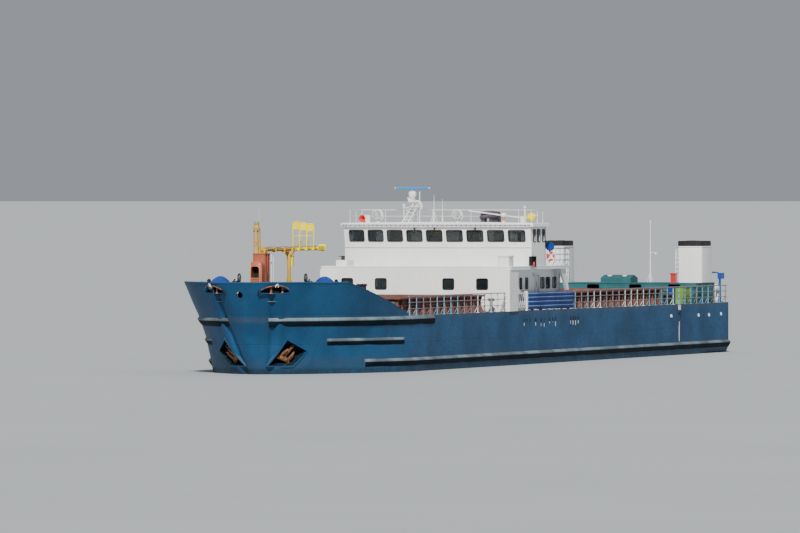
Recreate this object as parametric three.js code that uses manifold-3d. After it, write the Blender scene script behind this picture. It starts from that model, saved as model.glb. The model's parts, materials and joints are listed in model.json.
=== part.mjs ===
// River motor barge with two open holds, a full-width wheelhouse amidships and its machinery aft.
// Sizes and places are the real ship's metres, and the model is made at one tenth of them.
// X runs forward, Y to port, Z up; the origin is on the waterline amidships.
import * as THREE from 'three';
import { mergeVertices } from 'three/addons/utils/BufferGeometryUtils.js';
import Module from 'manifold-3d';

const wasm = await Module();
wasm.setup();

const modelScale = 0.1;
const millimetres = 1000 * modelScale;
const gap = 0.003;
const pinClear = 0.008;
const sides = [['port', 1], ['starboard', -1]];

const hull = {
  bow: 41, stern: -41.6, half: 5.82, keel: -1.95, deck: 3.2,
  foreBody: 25.6, afterBody: -28.9, bilge: 0.65, counter: -0.36, counterX: -36,
};
const forecastle = { deck: 4.15, breakX: 31.6, rail: 5.17, slopeX: 36, wingX: 27.7, wingTop: 3.3, plate: 0.12 };
const hold = { half: 4.4, floor: -1.05, ceiling: -0.95, fore: [9.6, 25.6], aft: [-28.9, -6.4] };
const coaming = { wall: 0.14, top: 4.2, bracketPitch: 1.4, bracket: 0.24 };
const house = { front: 8.1, back: -4.5, half: 5.25, frontHalf: 5.9, wall: 0.12, top: 5.66 };
const boatDeck = { top: 5.82, half: 5.95, front: 8.1, back: -4.6 };
const bridge = {
  front: 4.02, back: 0.47, half: 5.85, bow: 0.61, wall: 0.12, rakeFrom: 7.1, rake: 0.27,
  top: 8.21, roof: 8.46, overhang: 0.18,
};
const bridgeWindow = { count: 9, pitch: 1.254, width: 0.99, sill: 7.33, head: 7.98 };
const funnel = { front: -36, back: -38.6, inner: 3.8, outer: 5.42, foot: 4.5, top: 6.83, cap: 7.2 };
const propeller = { x: -36.5, y: 2.9, z: -1.15, radius: 0.7, hub: 0.16, length: 0.4 };
const rudder = { x: -38.0, front: -37.45, back: -39.1, bottom: -1.85, top: -0.5, thick: 0.16 };
const mast = { x: 36.72, z: 7.0, joint: 31, tip: 25.7, radius: 0.11, tipRadius: 0.09, pin: 0.045 };
const rail = { y: 5.72, height: 1.12, half: 0.035, pitch: 2.8 };

// Waterlines of the bow: height, half breadth, where the curve starts, the stem, fullness.
const bowLines = [
  [-1.95, 5.15, 25.9, 35.4, 1.8],
  [-1.65, 5.62, 25.9, 36.2, 1.8],
  [-1.2, 5.82, 25.9, 36.8, 1.75],
  [0, 5.82, 25.9, 37.67, 1.65],
  [1.9, 5.82, 26.2, 38.9, 1.8],
  [3.2, 5.82, 27.4, 39.75, 1.95],
  [4.15, 5.82, 28.8, 40.35, 2.1],
  [5.17, 5.82, 30, 41, 2.3],
];
const bowRound = 0.62;
const bowSteps = 8;

// Rubbing strakes: top, edge and foot heights, depth, after end, fore end.
const strakes = [
  [3.19, 3.03, 2.69, 0.15, 22.9, 39],
  [2.0, 1.87, 1.6, 0.13, 28.65, 35.6],
  [0.8, 0.66, 0.35, 0.15, -41.5, 32.4],
];

const colours = {
  hullBlue: 0x2d5c80, deckGrey: 0x4d4f4c, rust: 0x6b3a28, white: 0xe4e6e4, black: 0x1c1d1f,
  panelBlue: 0x1f3f8a, ventRed: 0x9a4a33, ochre: 0xc09030, lemon: 0xe6d81e, railBlue: 0x7fa3bd,
  glass: 0x2a3236, bronze: 0x9a7b45, steel: 0x55504a, red: 0xb02a22, green: 0x4f7a3a, teal: 0x1f6a74,
};

// Closed geometry in real metres to a solid in model millimetres, with its faces turned outwards.
function solid(geometry) {
  const bare = new THREE.BufferGeometry();
  bare.setAttribute('position', geometry.attributes.position.clone());
  if (geometry.index) bare.setIndex(geometry.index.clone());
  bare.scale(millimetres, millimetres, millimetres);
  const merged = mergeVertices(bare, 1e-3);
  const p = merged.attributes.position.array;
  const triangles = [];
  let volume = 0;
  for (let i = 0; i < merged.index.count; i += 3) {
    const [a, b, c] = [0, 1, 2].map((k) => merged.index.getX(i + k));
    if (a === b || b === c || c === a) continue;
    triangles.push([a, b, c]);
    const [u, v, w] = [a, b, c].map((k) => new THREE.Vector3(p[3 * k], p[3 * k + 1], p[3 * k + 2]));
    volume += u.dot(v.cross(w));
  }
  const triVerts = Uint32Array.from(triangles.flatMap(([a, b, c]) => (volume < 0 ? [a, c, b] : [a, b, c])));
  return new wasm.Manifold(new wasm.Mesh({ numProp: 3, vertProperties: p, triVerts }));
}

const join = (solids) => solids.reduce((all, one) => all.add(one));

// Slanted legs are cut level with what they stand on.
const standing = (made, foot) => made.intersect(box([-45, 45], [-8, 8], [foot, foot + 12]));

function box(x, y, z) {
  const [sx, sy, sz] = [x, y, z].map(([a, b]) => Math.abs(b - a));
  const geometry = new THREE.BoxGeometry(sx, sy, sz);
  geometry.translate((x[0] + x[1]) / 2, (y[0] + y[1]) / 2, (z[0] + z[1]) / 2);
  return solid(geometry);
}

// A flat outline pushed through along one axis: (y, z) along x, (x, z) along y, (x, y) along z.
function prism(axis, outline, from, to) {
  const shape = new THREE.Shape(outline.map(([a, b]) => new THREE.Vector2(a, b)));
  const geometry = new THREE.ExtrudeGeometry(shape, { depth: to - from, bevelEnabled: false });
  if (axis === 'x') {
    geometry.applyMatrix4(new THREE.Matrix4().set(0, 0, 1, from, 1, 0, 0, 0, 0, 1, 0, 0, 0, 0, 0, 1));
  } else if (axis === 'y') {
    geometry.applyMatrix4(new THREE.Matrix4().set(1, 0, 0, 0, 0, 0, -1, to, 0, 1, 0, 0, 0, 0, 0, 1));
  } else {
    geometry.translate(0, 0, from);
  }
  return solid(geometry);
}

// A round rod from one point to another, with an end radius if it tapers.
function rod(from, to, radius, segments = 8, endRadius = radius) {
  const start = new THREE.Vector3(...from);
  const run = new THREE.Vector3(...to).sub(start);
  const geometry = new THREE.CylinderGeometry(endRadius, radius, run.length(), segments);
  geometry.translate(0, run.length() / 2, 0);
  geometry.applyQuaternion(new THREE.Quaternion().setFromUnitVectors(new THREE.Vector3(0, 1, 0), run.normalize()));
  geometry.translate(...from);
  return solid(geometry);
}

// Rings of equal length, one above another, skinned, with ladders of faces from side to side at both ends.
function stack(rings) {
  const contour = rings[0].map(([x, y]) => new THREE.Vector2(x, y));
  if (THREE.ShapeUtils.isClockWise(contour)) return stack(rings.map((ring) => [...ring].reverse()));
  const count = contour.length;
  const index = [];
  for (let i = 0; i + 1 < rings.length; i += 1) {
    for (let j = 0; j < count; j += 1) {
      const [a, b] = [i * count + j, i * count + ((j + 1) % count)];
      index.push(a, b, b + count, a, b + count, a + count);
    }
  }
  const last = (rings.length - 1) * count;
  for (let j = 0; j < Math.floor((count - 1) / 2); j += 1) {
    const [a, b, c, d] = [j, j + 1, count - 2 - j, count - 1 - j];
    index.push(a, c, b, a, d, c, last + a, last + b, last + c, last + a, last + c, last + d);
  }
  const geometry = new THREE.BufferGeometry();
  geometry.setAttribute('position', new THREE.Float32BufferAttribute(rings.flat(2), 3));
  geometry.setIndex(index);
  return solid(geometry);
}

// The bow's waterline at any height, between the rows of its table.
function bowLine(z) {
  const above = Math.min(Math.max(bowLines.findIndex((row) => row[0] >= z), 1), bowLines.length - 1);
  const upper = z > bowLines.at(-1)[0] ? bowLines.length - 1 : above;
  const [low, high] = [bowLines[upper - 1], bowLines[upper]];
  const share = (z - low[0]) / (high[0] - low[0]);
  return low.map((value, i) => value + (high[i] - value) * share);
}

// One waterline as a closed ring, from the flat after face round the stem and back.
function bowRing(z, offset = 0) {
  const [, half, start, stem, fullness] = bowLine(z);
  const portSide = [[hull.foreBody, half + offset, z]];
  for (let i = 0; i <= bowSteps; i += 1) {
    const along = Math.sin((Math.PI / 2) * (i / bowSteps));
    const across = Math.max(1 - along ** fullness, 0) ** bowRound;
    portSide.push([start + (stem + offset - start) * along, (half + offset) * across, z]);
  }
  const starboardSide = portSide.slice(0, -1).reverse().map(([x, y]) => [x, -y, z]);
  return [...portSide, ...starboardSide];
}

const bowForm = (heights, offset) => stack(heights.map((z) => bowRing(z, offset)));

// A strake is a wedge that stands off the hull between its top and its foot.
function bowStrake([top, edge, foot, depth, after, fore]) {
  const wedge = stack([bowRing(foot), bowRing(edge, depth), bowRing(top)]);
  const reach = box([Math.max(after, hull.foreBody), fore], [-7, 7], [foot, top]);
  return wedge.intersect(reach);
}

function sideStrake([top, edge, foot, depth, after], side, limits) {
  const outline = [[0, foot], [hull.half, foot], [hull.half + depth, edge], [hull.half, top], [0, top]];
  const near = side * hull.half;
  const far = side * (hull.half + 1);
  const whole = prism('x', outline.map(([y, z]) => [side * y, z]), Math.max(after, limits[0]), limits[1]);
  return whole.intersect(box(limits, [near - side * 0.1, far], [foot, top]));
}

function hullBow() {
  const heights = bowLines.map((row) => row[0]).filter((z) => z <= forecastle.deck);
  let bow = bowForm(heights);
  bow = bow.subtract(box([hull.foreBody - 1, forecastle.breakX], [-7, 7], [hull.deck, 6]));
  bow = join([bow, ...strakes.map(bowStrake)]);
  for (const [, side] of sides) bow = bow.subtract(anchorPocket(side));
  const bollards = [[36.9, 2.8], [33.4, 4.7]];
  for (const [x, y] of bollards) {
    for (const [, side] of sides) {
      bow = bow.add(rod([x, side * y, forecastle.deck - 0.1], [x, side * y, 5.1], 0.16));
      bow = bow.add(rod([x - 0.7, side * y, forecastle.deck - 0.1], [x - 0.7, side * y, 5.1], 0.16));
    }
  }
  return bow;
}

// The anchor's recess: four corners near the bow's skin, and a flat floor square to its normal.
const pocket = {
  corners: [[37.8, 1.83, 1.96], [36.5, 2.5, 1.38], [36.9, 1.87, 0.5], [37.8, 0.7, 0.5]],
  outward: new THREE.Vector3(0.563, 0.636, -0.528).normalize(),
  depth: 0.62,
  inset: -0.2,
};
pocket.centre = new THREE.Vector3();
for (const corner of pocket.corners) pocket.centre.addScaledVector(new THREE.Vector3(...corner), 0.25);

function anchorPocket(side) {
  const at = (distance) => pocket.corners.map(([x, y, z]) => {
    const point = new THREE.Vector3(x, y, z);
    const rise = pocket.outward.dot(pocket.centre) - pocket.outward.dot(point);
    point.addScaledVector(pocket.outward, rise + distance);
    return [point.x, side * point.y, point.z];
  });
  const rings = [at(-pocket.depth), at(0.6)];
  const index = [0, 1, 5, 0, 5, 4, 1, 2, 6, 1, 6, 5, 2, 3, 7, 2, 7, 6, 3, 0, 4, 3, 4, 7, 0, 2, 1, 0, 3, 2, 4, 5, 6, 4, 6, 7];
  const geometry = new THREE.BufferGeometry();
  geometry.setAttribute('position', new THREE.Float32BufferAttribute(rings.flat(2), 3));
  geometry.setIndex(index);
  return solid(geometry);
}

function anchor(side) {
  const centre = pocket.centre.clone().addScaledVector(pocket.outward, pocket.inset);
  const up = new THREE.Vector3(...pocket.corners[0]).sub(new THREE.Vector3(...pocket.corners[3]));
  up.addScaledVector(pocket.outward, -up.dot(pocket.outward)).normalize();
  const across = new THREE.Vector3().crossVectors(pocket.outward, up);
  const place = (a, u, out) => {
    const point = centre.clone().addScaledVector(across, a).addScaledVector(up, u)
      .addScaledVector(pocket.outward, out);
    return [point.x, side * point.y, point.z];
  };
  return join([
    rod(place(0, -0.32, 0), place(0, 0.42, 0), 0.08, 6),
    rod(place(-0.28, -0.3, 0), place(0.28, -0.3, 0), 0.1, 6),
    rod(place(-0.24, -0.3, 0), place(-0.2, 0.24, 0.1), 0.1, 6, 0.04),
    rod(place(0.24, -0.3, 0), place(0.2, 0.24, 0.1), 0.1, 6, 0.04),
    rod(place(0, 0, gap - pocket.depth - pocket.inset), place(0, 0, 0), 0.06, 6),
  ]);
}

function bowBulwark() {
  const f = forecastle;
  const outer = bowForm([hull.deck, f.deck, f.rail]);
  const inner = bowForm([hull.deck - 0.3, hull.deck, f.deck, f.rail, f.rail + 0.3], -f.plate);
  const breakTop = f.wingTop + ((f.rail - f.wingTop) * (f.breakX - f.wingX)) / (f.slopeX - f.wingX);
  const wing = [[f.wingX, hull.deck], [f.breakX, hull.deck], [f.breakX, breakTop], [f.wingX, f.wingTop]];
  const fore = [[f.breakX, f.deck], [42, f.deck], [42, f.rail], [f.slopeX, f.rail], [f.breakX, breakTop]];
  const reach = prism('y', wing, -7, 7).add(prism('y', fore, -7, 7));
  let bulwark = outer.intersect(reach).subtract(inner);
  bulwark = bulwark.subtract(rod([39.5, 0, 4.49], [42, 0, 4.49], 0.2, 12));
  for (const [, side] of sides) bulwark = bulwark.subtract(fairlead(side));
  return bulwark;
}

// The long opening for the mooring lines, cut through the bulwark where it runs at 45 degrees.
function fairlead(side) {
  const geometry = new THREE.BoxGeometry(1.7, 0.9, 0.27);
  geometry.rotateZ(-side * Math.PI / 4);
  geometry.translate(39.88, side * 1.82, 4.75);
  return solid(geometry);
}

function hullBottom() {
  const { half, keel, bilge } = hull;
  const flat = half - bilge;
  const outline = [[flat, keel], [half - 0.2, keel + 0.3], [half, -1.2], [half, hold.floor]];
  const mirrored = outline.map(([y, z]) => [-y, z]).reverse();
  return prism('x', [...outline, ...mirrored], hull.afterBody, hull.foreBody);
}

function wingTank(side) {
  const reach = [hull.afterBody, hull.foreBody];
  const tank = box(reach, [side * hold.half, side * hull.half], [hold.floor, hull.deck]);
  return join([tank, sideStrake(strakes[0], side, reach), sideStrake(strakes[2], side, reach)]);
}

const hullMidship = () => box([hold.aft[1], hold.fore[0]], [-hold.half, hold.half], [hold.floor, hull.deck]);

function hullStern() {
  const { stern, half, keel, deck } = hull;
  const front = hull.afterBody;
  const { counter, counterX } = hull;
  const rise = [[front, keel], [counterX, counter], [counterX, deck], [front, deck]];
  const after = [[counterX, counter], [stern + 0.5, counter], [stern, 0.1], [stern, deck], [counterX, deck]];
  const plan = [[front, -half], [front, half], [-41, half], [-41.42, 5.66], [stern, 5.3], [stern, -5.3],
    [-41.42, -5.66], [-41, -half]];
  const section = [[half - 0.65, keel], [half - 0.2, keel + 0.3], [half, -1.2], [half, deck]];
  const mirrored = section.map(([y, z]) => [-y, z]).reverse();
  let body = prism('y', rise, -half, half).add(prism('y', after, -half, half))
    .intersect(prism('z', plan, keel, deck))
    .intersect(prism('x', [...section, ...mirrored], stern, front));
  const [top, edge, foot, depth] = strakes[2];
  const grown = plan.map(([x, y]) => [x < front ? x - (x < -41.2 ? depth : 0) : x, y + Math.sign(y) * depth]);
  const wedge = stack([
    plan.map(([x, y]) => [x, y, foot]), grown.map(([x, y]) => [x, y, edge]), plan.map(([x, y]) => [x, y, top]),
  ]);
  body = body.add(wedge);
  const p = propeller;
  for (const [, side] of sides) {
    const y = side * p.y;
    body = body.add(rod([-29.5, y, p.z], [p.x + p.length / 2 + gap, y, p.z], 0.13, 10));
    body = body.add(box([-36.15, -35.75], [y - 0.05, y + 0.05], [p.z, 0]));
    for (const x of [-40.3, -30.2]) {
      for (const at of [x, x + 0.65]) body = body.add(rod([at, side * 4.9, 3.1], [at, side * 4.9, 3.85], 0.16));
    }
  }
  return body;
}

// A rectangle of plate on edge round the hold, stiffened outside by brackets.
function holdCoaming([back, front]) {
  const { wall, top, bracket, bracketPitch } = coaming;
  const h = hold.half;
  const ring = box([back - wall, front + wall], [-h - wall, h + wall], [hull.deck, top])
    .subtract(box([back, front], [-h, h], [hull.deck - 1, top + 1]));
  const parts = [ring];
  const count = Math.floor((front - back) / bracketPitch);
  for (let i = 0; i <= count; i += 1) {
    const x = back + ((front - back) * i) / count;
    for (const [, side] of sides) {
      const [inner, outer] = [side * (h + wall / 2), side * (h + wall + bracket)];
      const outline = [[inner, hull.deck], [outer, hull.deck], [outer, top - 0.12], [outer, top], [inner, top]];
      parts.push(prism('x', outline, x - 0.05, x + 0.05));
    }
  }
  for (const [, side] of sides) {
    parts.push(box([back - wall, front + wall], [side * (h + wall / 2), side * (h + wall + bracket)], [top - 0.12, top]));
  }
  return join(parts);
}

// The plating that the cargo lies on, laid loose over the hull's bottom.
function holdFloor([back, front]) {
  const half = hold.half - gap;
  return box([back + gap, front - gap], [-half, half], [hold.floor + gap, hold.ceiling]);
}

// Posts with three bars along one axis at a fixed place on the other.
function railing(axis, [from, to], at, foot, height = rail.height) {
  const place = (range, z) => (axis === 'x' ? box(range, [at - rail.half, at + rail.half], z)
    : box([at - rail.half, at + rail.half], range, z));
  const count = Math.max(Math.round((to - from) / rail.pitch), 1);
  const parts = [];
  for (let i = 0; i <= count; i += 1) {
    const middle = from + rail.half + ((to - from - 2 * rail.half) * i) / count;
    parts.push(place([middle - rail.half, middle + rail.half], [foot, foot + height]));
  }
  for (const share of [0.36, 0.68, 1]) {
    const z = foot + height * share;
    parts.push(place([from, to], [z - 0.05, z]));
  }
  return join(parts);
}

// The ribbed panel at the deck edge beside the house, two posts, and a lattice gangway between them.
function sidePanel(side) {
  const y = (a, b) => [side * a, side * b];
  const parts = [box([-5.74, 3.86], y(5.7, 5.78), [3.27, 4.27])];
  for (const z of [3.4, 3.67, 3.94, 4.2]) parts.push(box([-5.74, 3.86], y(5.74, 5.86), [z, z + 0.07]));
  for (const x of [-5.6, -2.5, 0.6, 3.6]) parts.push(box([x, x + 0.1], y(5.62, 5.74), [hull.deck, 4.2]));
  for (const x of [4.1, 6.05]) parts.push(box([x, x + 0.12], y(5.66, 5.82), [hull.deck, 4.36]));
  for (const z of [3.4, 4.2]) parts.push(box([3.7, 6.1], y(5.7, 5.76), [z, z + 0.08]));
  for (const z of [3.48, 3.84]) {
    const outline = [[4.2, z], [4.3, z], [6.06, z + 0.36], [5.96, z + 0.36]];
    parts.push(prism('y', outline, Math.min(...y(5.71, 5.75)), Math.max(...y(5.71, 5.75))));
  }
  return join(parts);
}

// A wall with rectangular openings: across is the range along the wall, holes are [from, to, low, high].
function walled(along, across, thick, height, holes) {
  const place = (range, depth, z) => (along === 'x' ? box(range, depth, z) : box(depth, range, z));
  let wall = place(across, thick, height);
  const through = [Math.min(...thick) - 0.5, Math.max(...thick) + 0.5];
  for (const [from, to, low, high] of holes) wall = wall.subtract(place([from, to], through, [low, high]));
  return wall;
}

const houseDoor = { from: -0.1, to: 0.7, sill: 3.4, head: 5.3 };
const houseWindows = [[3.44, 3.91], [2.18, 2.74], [-1.25, -0.42], [-2.44, -1.57], [-3.72, -2.98]];
const houseWindowHeights = [4.5, 5.13];
const backDoor = { from: 4.1, to: 4.9, sill: 6.0, head: 7.9 };
const sideWindows = [[0.7, 1.18], [1.65, 2.29], [2.6, 3.08]];
const doorThick = 0.06;

function houseSide(side) {
  const { half, wall, front, back, top } = house;
  const thick = [side * half, side * (half - wall)];
  const windows = houseWindows.map(([a, b]) => [a, b, ...houseWindowHeights]);
  const door = [houseDoor.from, houseDoor.to, houseDoor.sill, houseDoor.head];
  return walled('x', [back + wall, front - wall], thick, [hull.deck, top], [...windows, door]);
}

// The house's front wall, which turns aft for a short way at the ship's sides.
function houseFront() {
  const { frontHalf, wall, front, top } = house;
  const holes = [-4.2, -2.1, 2.1, 4.2].map((y) => [y - 0.35, y + 0.35, ...houseWindowHeights]);
  const parts = [walled('y', [-frontHalf, frontHalf], [front - wall, front], [hull.deck, top], holes)];
  for (const [, side] of sides) {
    parts.push(box([6.3, front], [side * (frontHalf - wall), side * frontHalf], [hull.deck, top]));
  }
  return join(parts);
}

function houseBack() {
  const { half, wall, back, top } = house;
  const holes = [-3.2, 3.2].map((y) => [y - 0.35, y + 0.35, ...houseWindowHeights]);
  return walled('y', [-half, half], [back, back + wall], [hull.deck, top], holes);
}

// The boat deck over house and side passages, with its slanted after posts, a locker and the sidelight boxes.
function boatDeckSlab() {
  const { top, half, front, back } = boatDeck;
  const parts = [box([back, front], [-half, half], [house.top, top]), box([6.6, 7.6], [5.0, 5.7], [top - 0.1, 6.5])];
  for (const [, side] of sides) {
    const y = (a, b) => [side * a, side * b];
    const slant = [[-3.8, house.top + 0.05], [-2.6, house.top + 0.05], [-4, 4.36], [-4.55, 4.36]];
    parts.push(prism('y', slant, Math.min(...y(5.7, 5.86)), Math.max(...y(5.7, 5.86))));
    parts.push(box([3, 4], y(5.86, 5.9), [top - 0.05, 6.4]));
    parts.push(box([3, 3.06], y(5.86, 6.03), [top - 0.05, 6.4]));
    for (const z of [top - 0.03, 6.36]) parts.push(box([3, 4], y(5.86, 6.03), [z, z + 0.04]));
  }
  return join(parts);
}

// The bowed front: X of its outer face at a place across and a height, leaning forward at the windows.
function bridgeFace(y, z) {
  const lean = (bridge.rake * Math.max(z - bridge.rakeFrom, 0)) / (bridge.top - bridge.rakeFrom);
  return bridge.front - bridge.bow * (y / bridge.half) ** 2 + lean;
}

// A curved sheet along the bridge front, between two depths behind its outer face.
function bridgeSheet(outer, inner, half, heights) {
  const edges = [];
  const step = (2 * half) / bridgeWindow.count;
  for (let i = 0; i <= bridgeWindow.count; i += 1) edges.push(-half + step * i);
  return stack(heights.map((z) => [
    ...edges.map((y) => [bridgeFace(y, z) - outer, y, z]),
    ...edges.toReversed().map((y) => [bridgeFace(y, z) - inner, y, z]),
  ]));
}

function bridgeFront() {
  const heights = [boatDeck.top, bridge.rakeFrom, bridge.top];
  let wall = bridgeSheet(0, bridge.wall, bridge.half, heights);
  const { count, pitch, width, sill, head } = bridgeWindow;
  for (let i = 0; i < count; i += 1) {
    const y = (i - (count - 1) / 2) * pitch;
    wall = wall.subtract(box([2.5, 5], [y - width / 2, y + width / 2], [sill, head]));
  }
  return wall;
}

// The panes stand close behind the front's openings, as one strip.
function bridgeGlass() {
  const { sill, head } = bridgeWindow;
  const inside = bridge.wall + gap;
  return bridgeSheet(inside, inside + 0.03, bridge.half - bridge.wall - 0.02, [sill - 0.06, head + 0.06]);
}

function bridgeSide(side) {
  const { half, wall, back, top } = bridge;
  const thick = [side * half, side * (half - wall)];
  const windows = sideWindows.map(([a, b]) => [a, b, 7.31, 8.04]);
  const full = walled('x', [back + wall, 4.6], thick, [boatDeck.top, top], windows);
  const clear = bridgeSheet(-1.2, wall + gap, half + 0.4, [boatDeck.top - 0.4, bridge.rakeFrom, top + 0.4]);
  return full.subtract(clear);
}

function bridgeBack() {
  const { half, wall, back, top } = bridge;
  const windows = [-4.4, -2.2, 0, 2.2].map((y) => [y - 0.45, y + 0.45, 7.25, 7.95]);
  const door = [backDoor.from, backDoor.to, backDoor.sill, backDoor.head];
  return walled('y', [-half, half], [back, back + wall], [boatDeck.top, top], [...windows, door]);
}

function bridgeRoof() {
  const { top, roof, overhang, half, back } = bridge;
  const front = [];
  for (let i = 0; i <= 9; i += 1) {
    const y = -half - overhang + ((2 * (half + overhang)) / 9) * i;
    front.push([bridgeFace(y, top) + overhang, y]);
  }
  const slab = prism('z', [...front, [back - 0.2, half + overhang], [back - 0.2, -half - overhang]], top, roof);
  return slab.add(roofMastFoot());
}

// Rails along the wheelhouse roof's after and side edges, with the two whip aerials.
function roofRail() {
  const { roof, back } = bridge;
  const parts = [
    railing('y', [-5.7, 5.7], back + 0.1, roof, 0.75),
    railing('x', [back + 0.1, 2.9], 5.7 - rail.half, roof, 0.75),
    railing('x', [back + 0.1, 2.9], rail.half - 5.7, roof, 0.75),
  ];
  for (const y of [-0.7, 0.1]) parts.push(rod([back + 0.1, y, roof + 0.5], [back + 0.1, y, roof + 1.85], 0.03, 6));
  return join(parts);
}

const radar = { x: 2.3, y: -1.95, platform: 9.42, gearbox: [9.95, 10.36], bar: 10.45, half: 1.085 };

function radarMast() {
  const { x, y, platform, gearbox } = radar;
  const foot = bridge.roof;
  const parts = [
    rod([x + 0.35, y - 0.75, foot], [x + 0.1, y - 0.05, platform], 0.06, 6),
    rod([x - 0.35, y - 0.75, foot], [x - 0.1, y - 0.05, platform], 0.06, 6),
    rod([x + 0.35, y - 0.3, foot], [x + 0.1, y + 0.3, platform + 0.1], 0.06, 6),
    rod([x - 0.35, y - 0.3, foot], [x - 0.1, y + 0.3, platform + 0.1], 0.06, 6),
    box([x - 0.25, x + 0.25], [y - 1.0, y + 0.4], [platform - 0.03, platform + 0.05]),
    rod([x, y - 0.95, foot], [x, y - 0.95, platform + 0.25], 0.05, 6),
    rod([x, y + 0.3, platform], [x, y + 0.42, platform + 0.42], 0.09, 8),
    rod([x, y + 0.42, platform + 0.38], [x, y, gearbox[0] + 0.1], 0.09, 8),
    box([x - 0.16, x + 0.16], [y - 0.16, y + 0.16], [platform, gearbox[0] + 0.05]),
    box([x - 0.22, x + 0.22], [y - 0.24, y + 0.24], gearbox),
  ];
  return standing(join(parts), foot);
}

function radarScanner() {
  const { x, y, gearbox, bar, half } = radar;
  return join([
    rod([x, y, gearbox[1] + gap], [x, y, bar + 0.02], 0.1, 10),
    box([x - 0.07, x + 0.07], [y - half, y + half], [bar, bar + 0.13]),
  ]);
}

function searchlight(x, y) {
  const z = bridge.roof;
  return join([
    rod([x, y, z], [x, y, z + 0.28], 0.07, 8),
    rod([x - 0.28, y, z + 0.48], [x + 0.22, y, z + 0.52], 0.24, 12, 0.3),
  ]);
}

function horn() {
  const [x, y, z] = [3.2, -4.75, bridge.roof];
  return join([
    rod([x, y, z], [x, y, z + 0.12], 0.06, 8),
    rod([x - 0.3, y, z + 0.22], [x + 0.3, y, z + 0.22], 0.12, 10, 0.22),
    box([x - 0.25, x - 0.05], [y + 0.02, y + 0.38], [z + 0.22, z + 0.5]),
  ]);
}

// The signal mast lies across the wheelhouse roof from its pivot on the port side.
const roofMast = { x: 1.9, pivotY: 4.85, z: 8.72, endY: 1.85, endZ: 9.1 };

function roofMastFoot() {
  const { x, pivotY, z } = roofMast;
  return join([
    box([x - 0.14, x - 0.07], [pivotY - 0.12, pivotY + 0.12], [bridge.roof - 0.1, z + 0.1]),
    box([x + 0.07, x + 0.14], [pivotY - 0.12, pivotY + 0.12], [bridge.roof - 0.1, z + 0.1]),
    rod([x - 0.12, pivotY, z], [x + 0.12, pivotY, z], 0.03, 8),
    rod([x, pivotY + 0.3, bridge.roof - 0.1], [x, pivotY + 0.3, 9.45], 0.07, 8),
  ]);
}

function roofMastPole() {
  const { x, pivotY, z, endY, endZ } = roofMast;
  const pole = join([
    rod([x, pivotY + 0.06, z - 0.008], [x, endY, endZ], 0.055, 8, 0.035),
    rod([x - 0.06, pivotY, z], [x + 0.06, pivotY, z], 0.09, 10),
  ]);
  return pole.subtract(rod([x - 0.2, pivotY, z], [x + 0.2, pivotY, z], 0.03 + pinClear, 8));
}

// The ventilator stands to starboard of the centreline, with its cowl open forward.
const vent = { back: 36.2, front: 37.05, lip: 37.6, y: [-0.42, 0.26], top: 6.8 };

function ventHouse() {
  const { back, front, lip, y, top } = vent;
  const body = box([back, front], y, [forecastle.deck, top]);
  const cowl = prism('y', [[front - 0.2, 4.8], [lip - 0.1, 4.8], [lip, 5.0], [lip, 5.9], [lip - 0.3, 6.35],
    [front - 0.2, 6.4]], ...y);
  const mouth = box([front + 0.15, lip + 0.2], [y[0] + 0.05, y[1] - 0.05], [5.4, 6.02]);
  const foot = box([front - 0.2, front + 0.25], y, [forecastle.deck, 4.9]);
  return join([body, cowl, foot]).subtract(mouth);
}

const lantern = { x: 37, y: -0.24, platform: 8.1, radius: 0.14, top: 8.63 };

function foreTower() {
  const base = vent.top + gap;
  const { x, y, platform, radius, top } = lantern;
  const parts = [
    box([36.4, 37.05], [vent.y[0] + 0.01, vent.y[1]], [base, base + 0.04]),
    box([36.62, 36.82], [-0.24, -0.15], [base, mast.z + 0.12]),
    box([36.62, 36.82], [0.15, 0.24], [base, mast.z + 0.12]),
    rod([mast.x, -0.24, mast.z], [mast.x, 0.24, mast.z], mast.pin, 8),
    box([x - 0.1, x + 0.12], [y - 0.2, y + 0.2], [platform, platform + 0.06]),
    rod([x, y, platform], [x, y, top], radius, 10),
    rod([x, y - 0.12, base], [x, y - 0.14, platform], 0.045, 6),
    rod([x, y + 0.16, base], [x, y + 0.14, platform], 0.045, 6),
    rod([x - 0.28, y - 0.13, base], [x - 0.06, y - 0.02, platform], 0.045, 6),
    box([x - 0.03, x + 0.03], [y - 0.14, y + 0.16], [7.35, 7.42]),
  ];
  return standing(join(parts), base);
}

// The lowered mast lies aft over the foredeck; its hoops stand up from the light outer part.
function foreMast() {
  const { x, z, joint, tip, radius, tipRadius, pin } = mast;
  const parts = [
    rod([x, -0.13, z], [x, 0.13, z], 0.13, 10),
    rod([x, 0, z], [joint, 0, z], radius, 8),
    rod([joint + 0.2, 0, z], [tip, 0, z], tipRadius, 8),
    box([tip, tip + 1.4], [-0.2, 0.2], [z - 0.04, z + 0.2]),
  ];
  for (const hoopX of [30.6, 29.3, 28.0]) {
    for (const y of [-0.2, 0.2]) parts.push(box([hoopX - 0.04, hoopX + 0.04], [y - 0.035, y + 0.035], [z, 8.5]));
    parts.push(box([hoopX - 0.06, hoopX + 0.06], [-0.235, 0.235], [8.05, 8.5]));
    parts.push(box([hoopX - 0.06, hoopX + 0.06], [-0.235, 0.235], [z - 0.04, z + 0.1]));
  }
  return join(parts).subtract(rod([x, -0.3, z], [x, 0.3, z], pin + pinClear, 8));
}

function mastCrutch() {
  const [x, top] = [31.9, mast.z - mast.radius - gap];
  return join([
    rod([x, 0, forecastle.deck], [x, 0, top], 0.11, 8),
    box([x - 0.12, x + 0.12], [-0.26, 0.26], [top - 0.1, top]),
    box([x - 0.12, x + 0.12], [-0.26, -0.16], [top - 0.1, top + 0.2]),
    box([x - 0.12, x + 0.12], [0.16, 0.26], [top - 0.1, top + 0.2]),
  ]);
}

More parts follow.
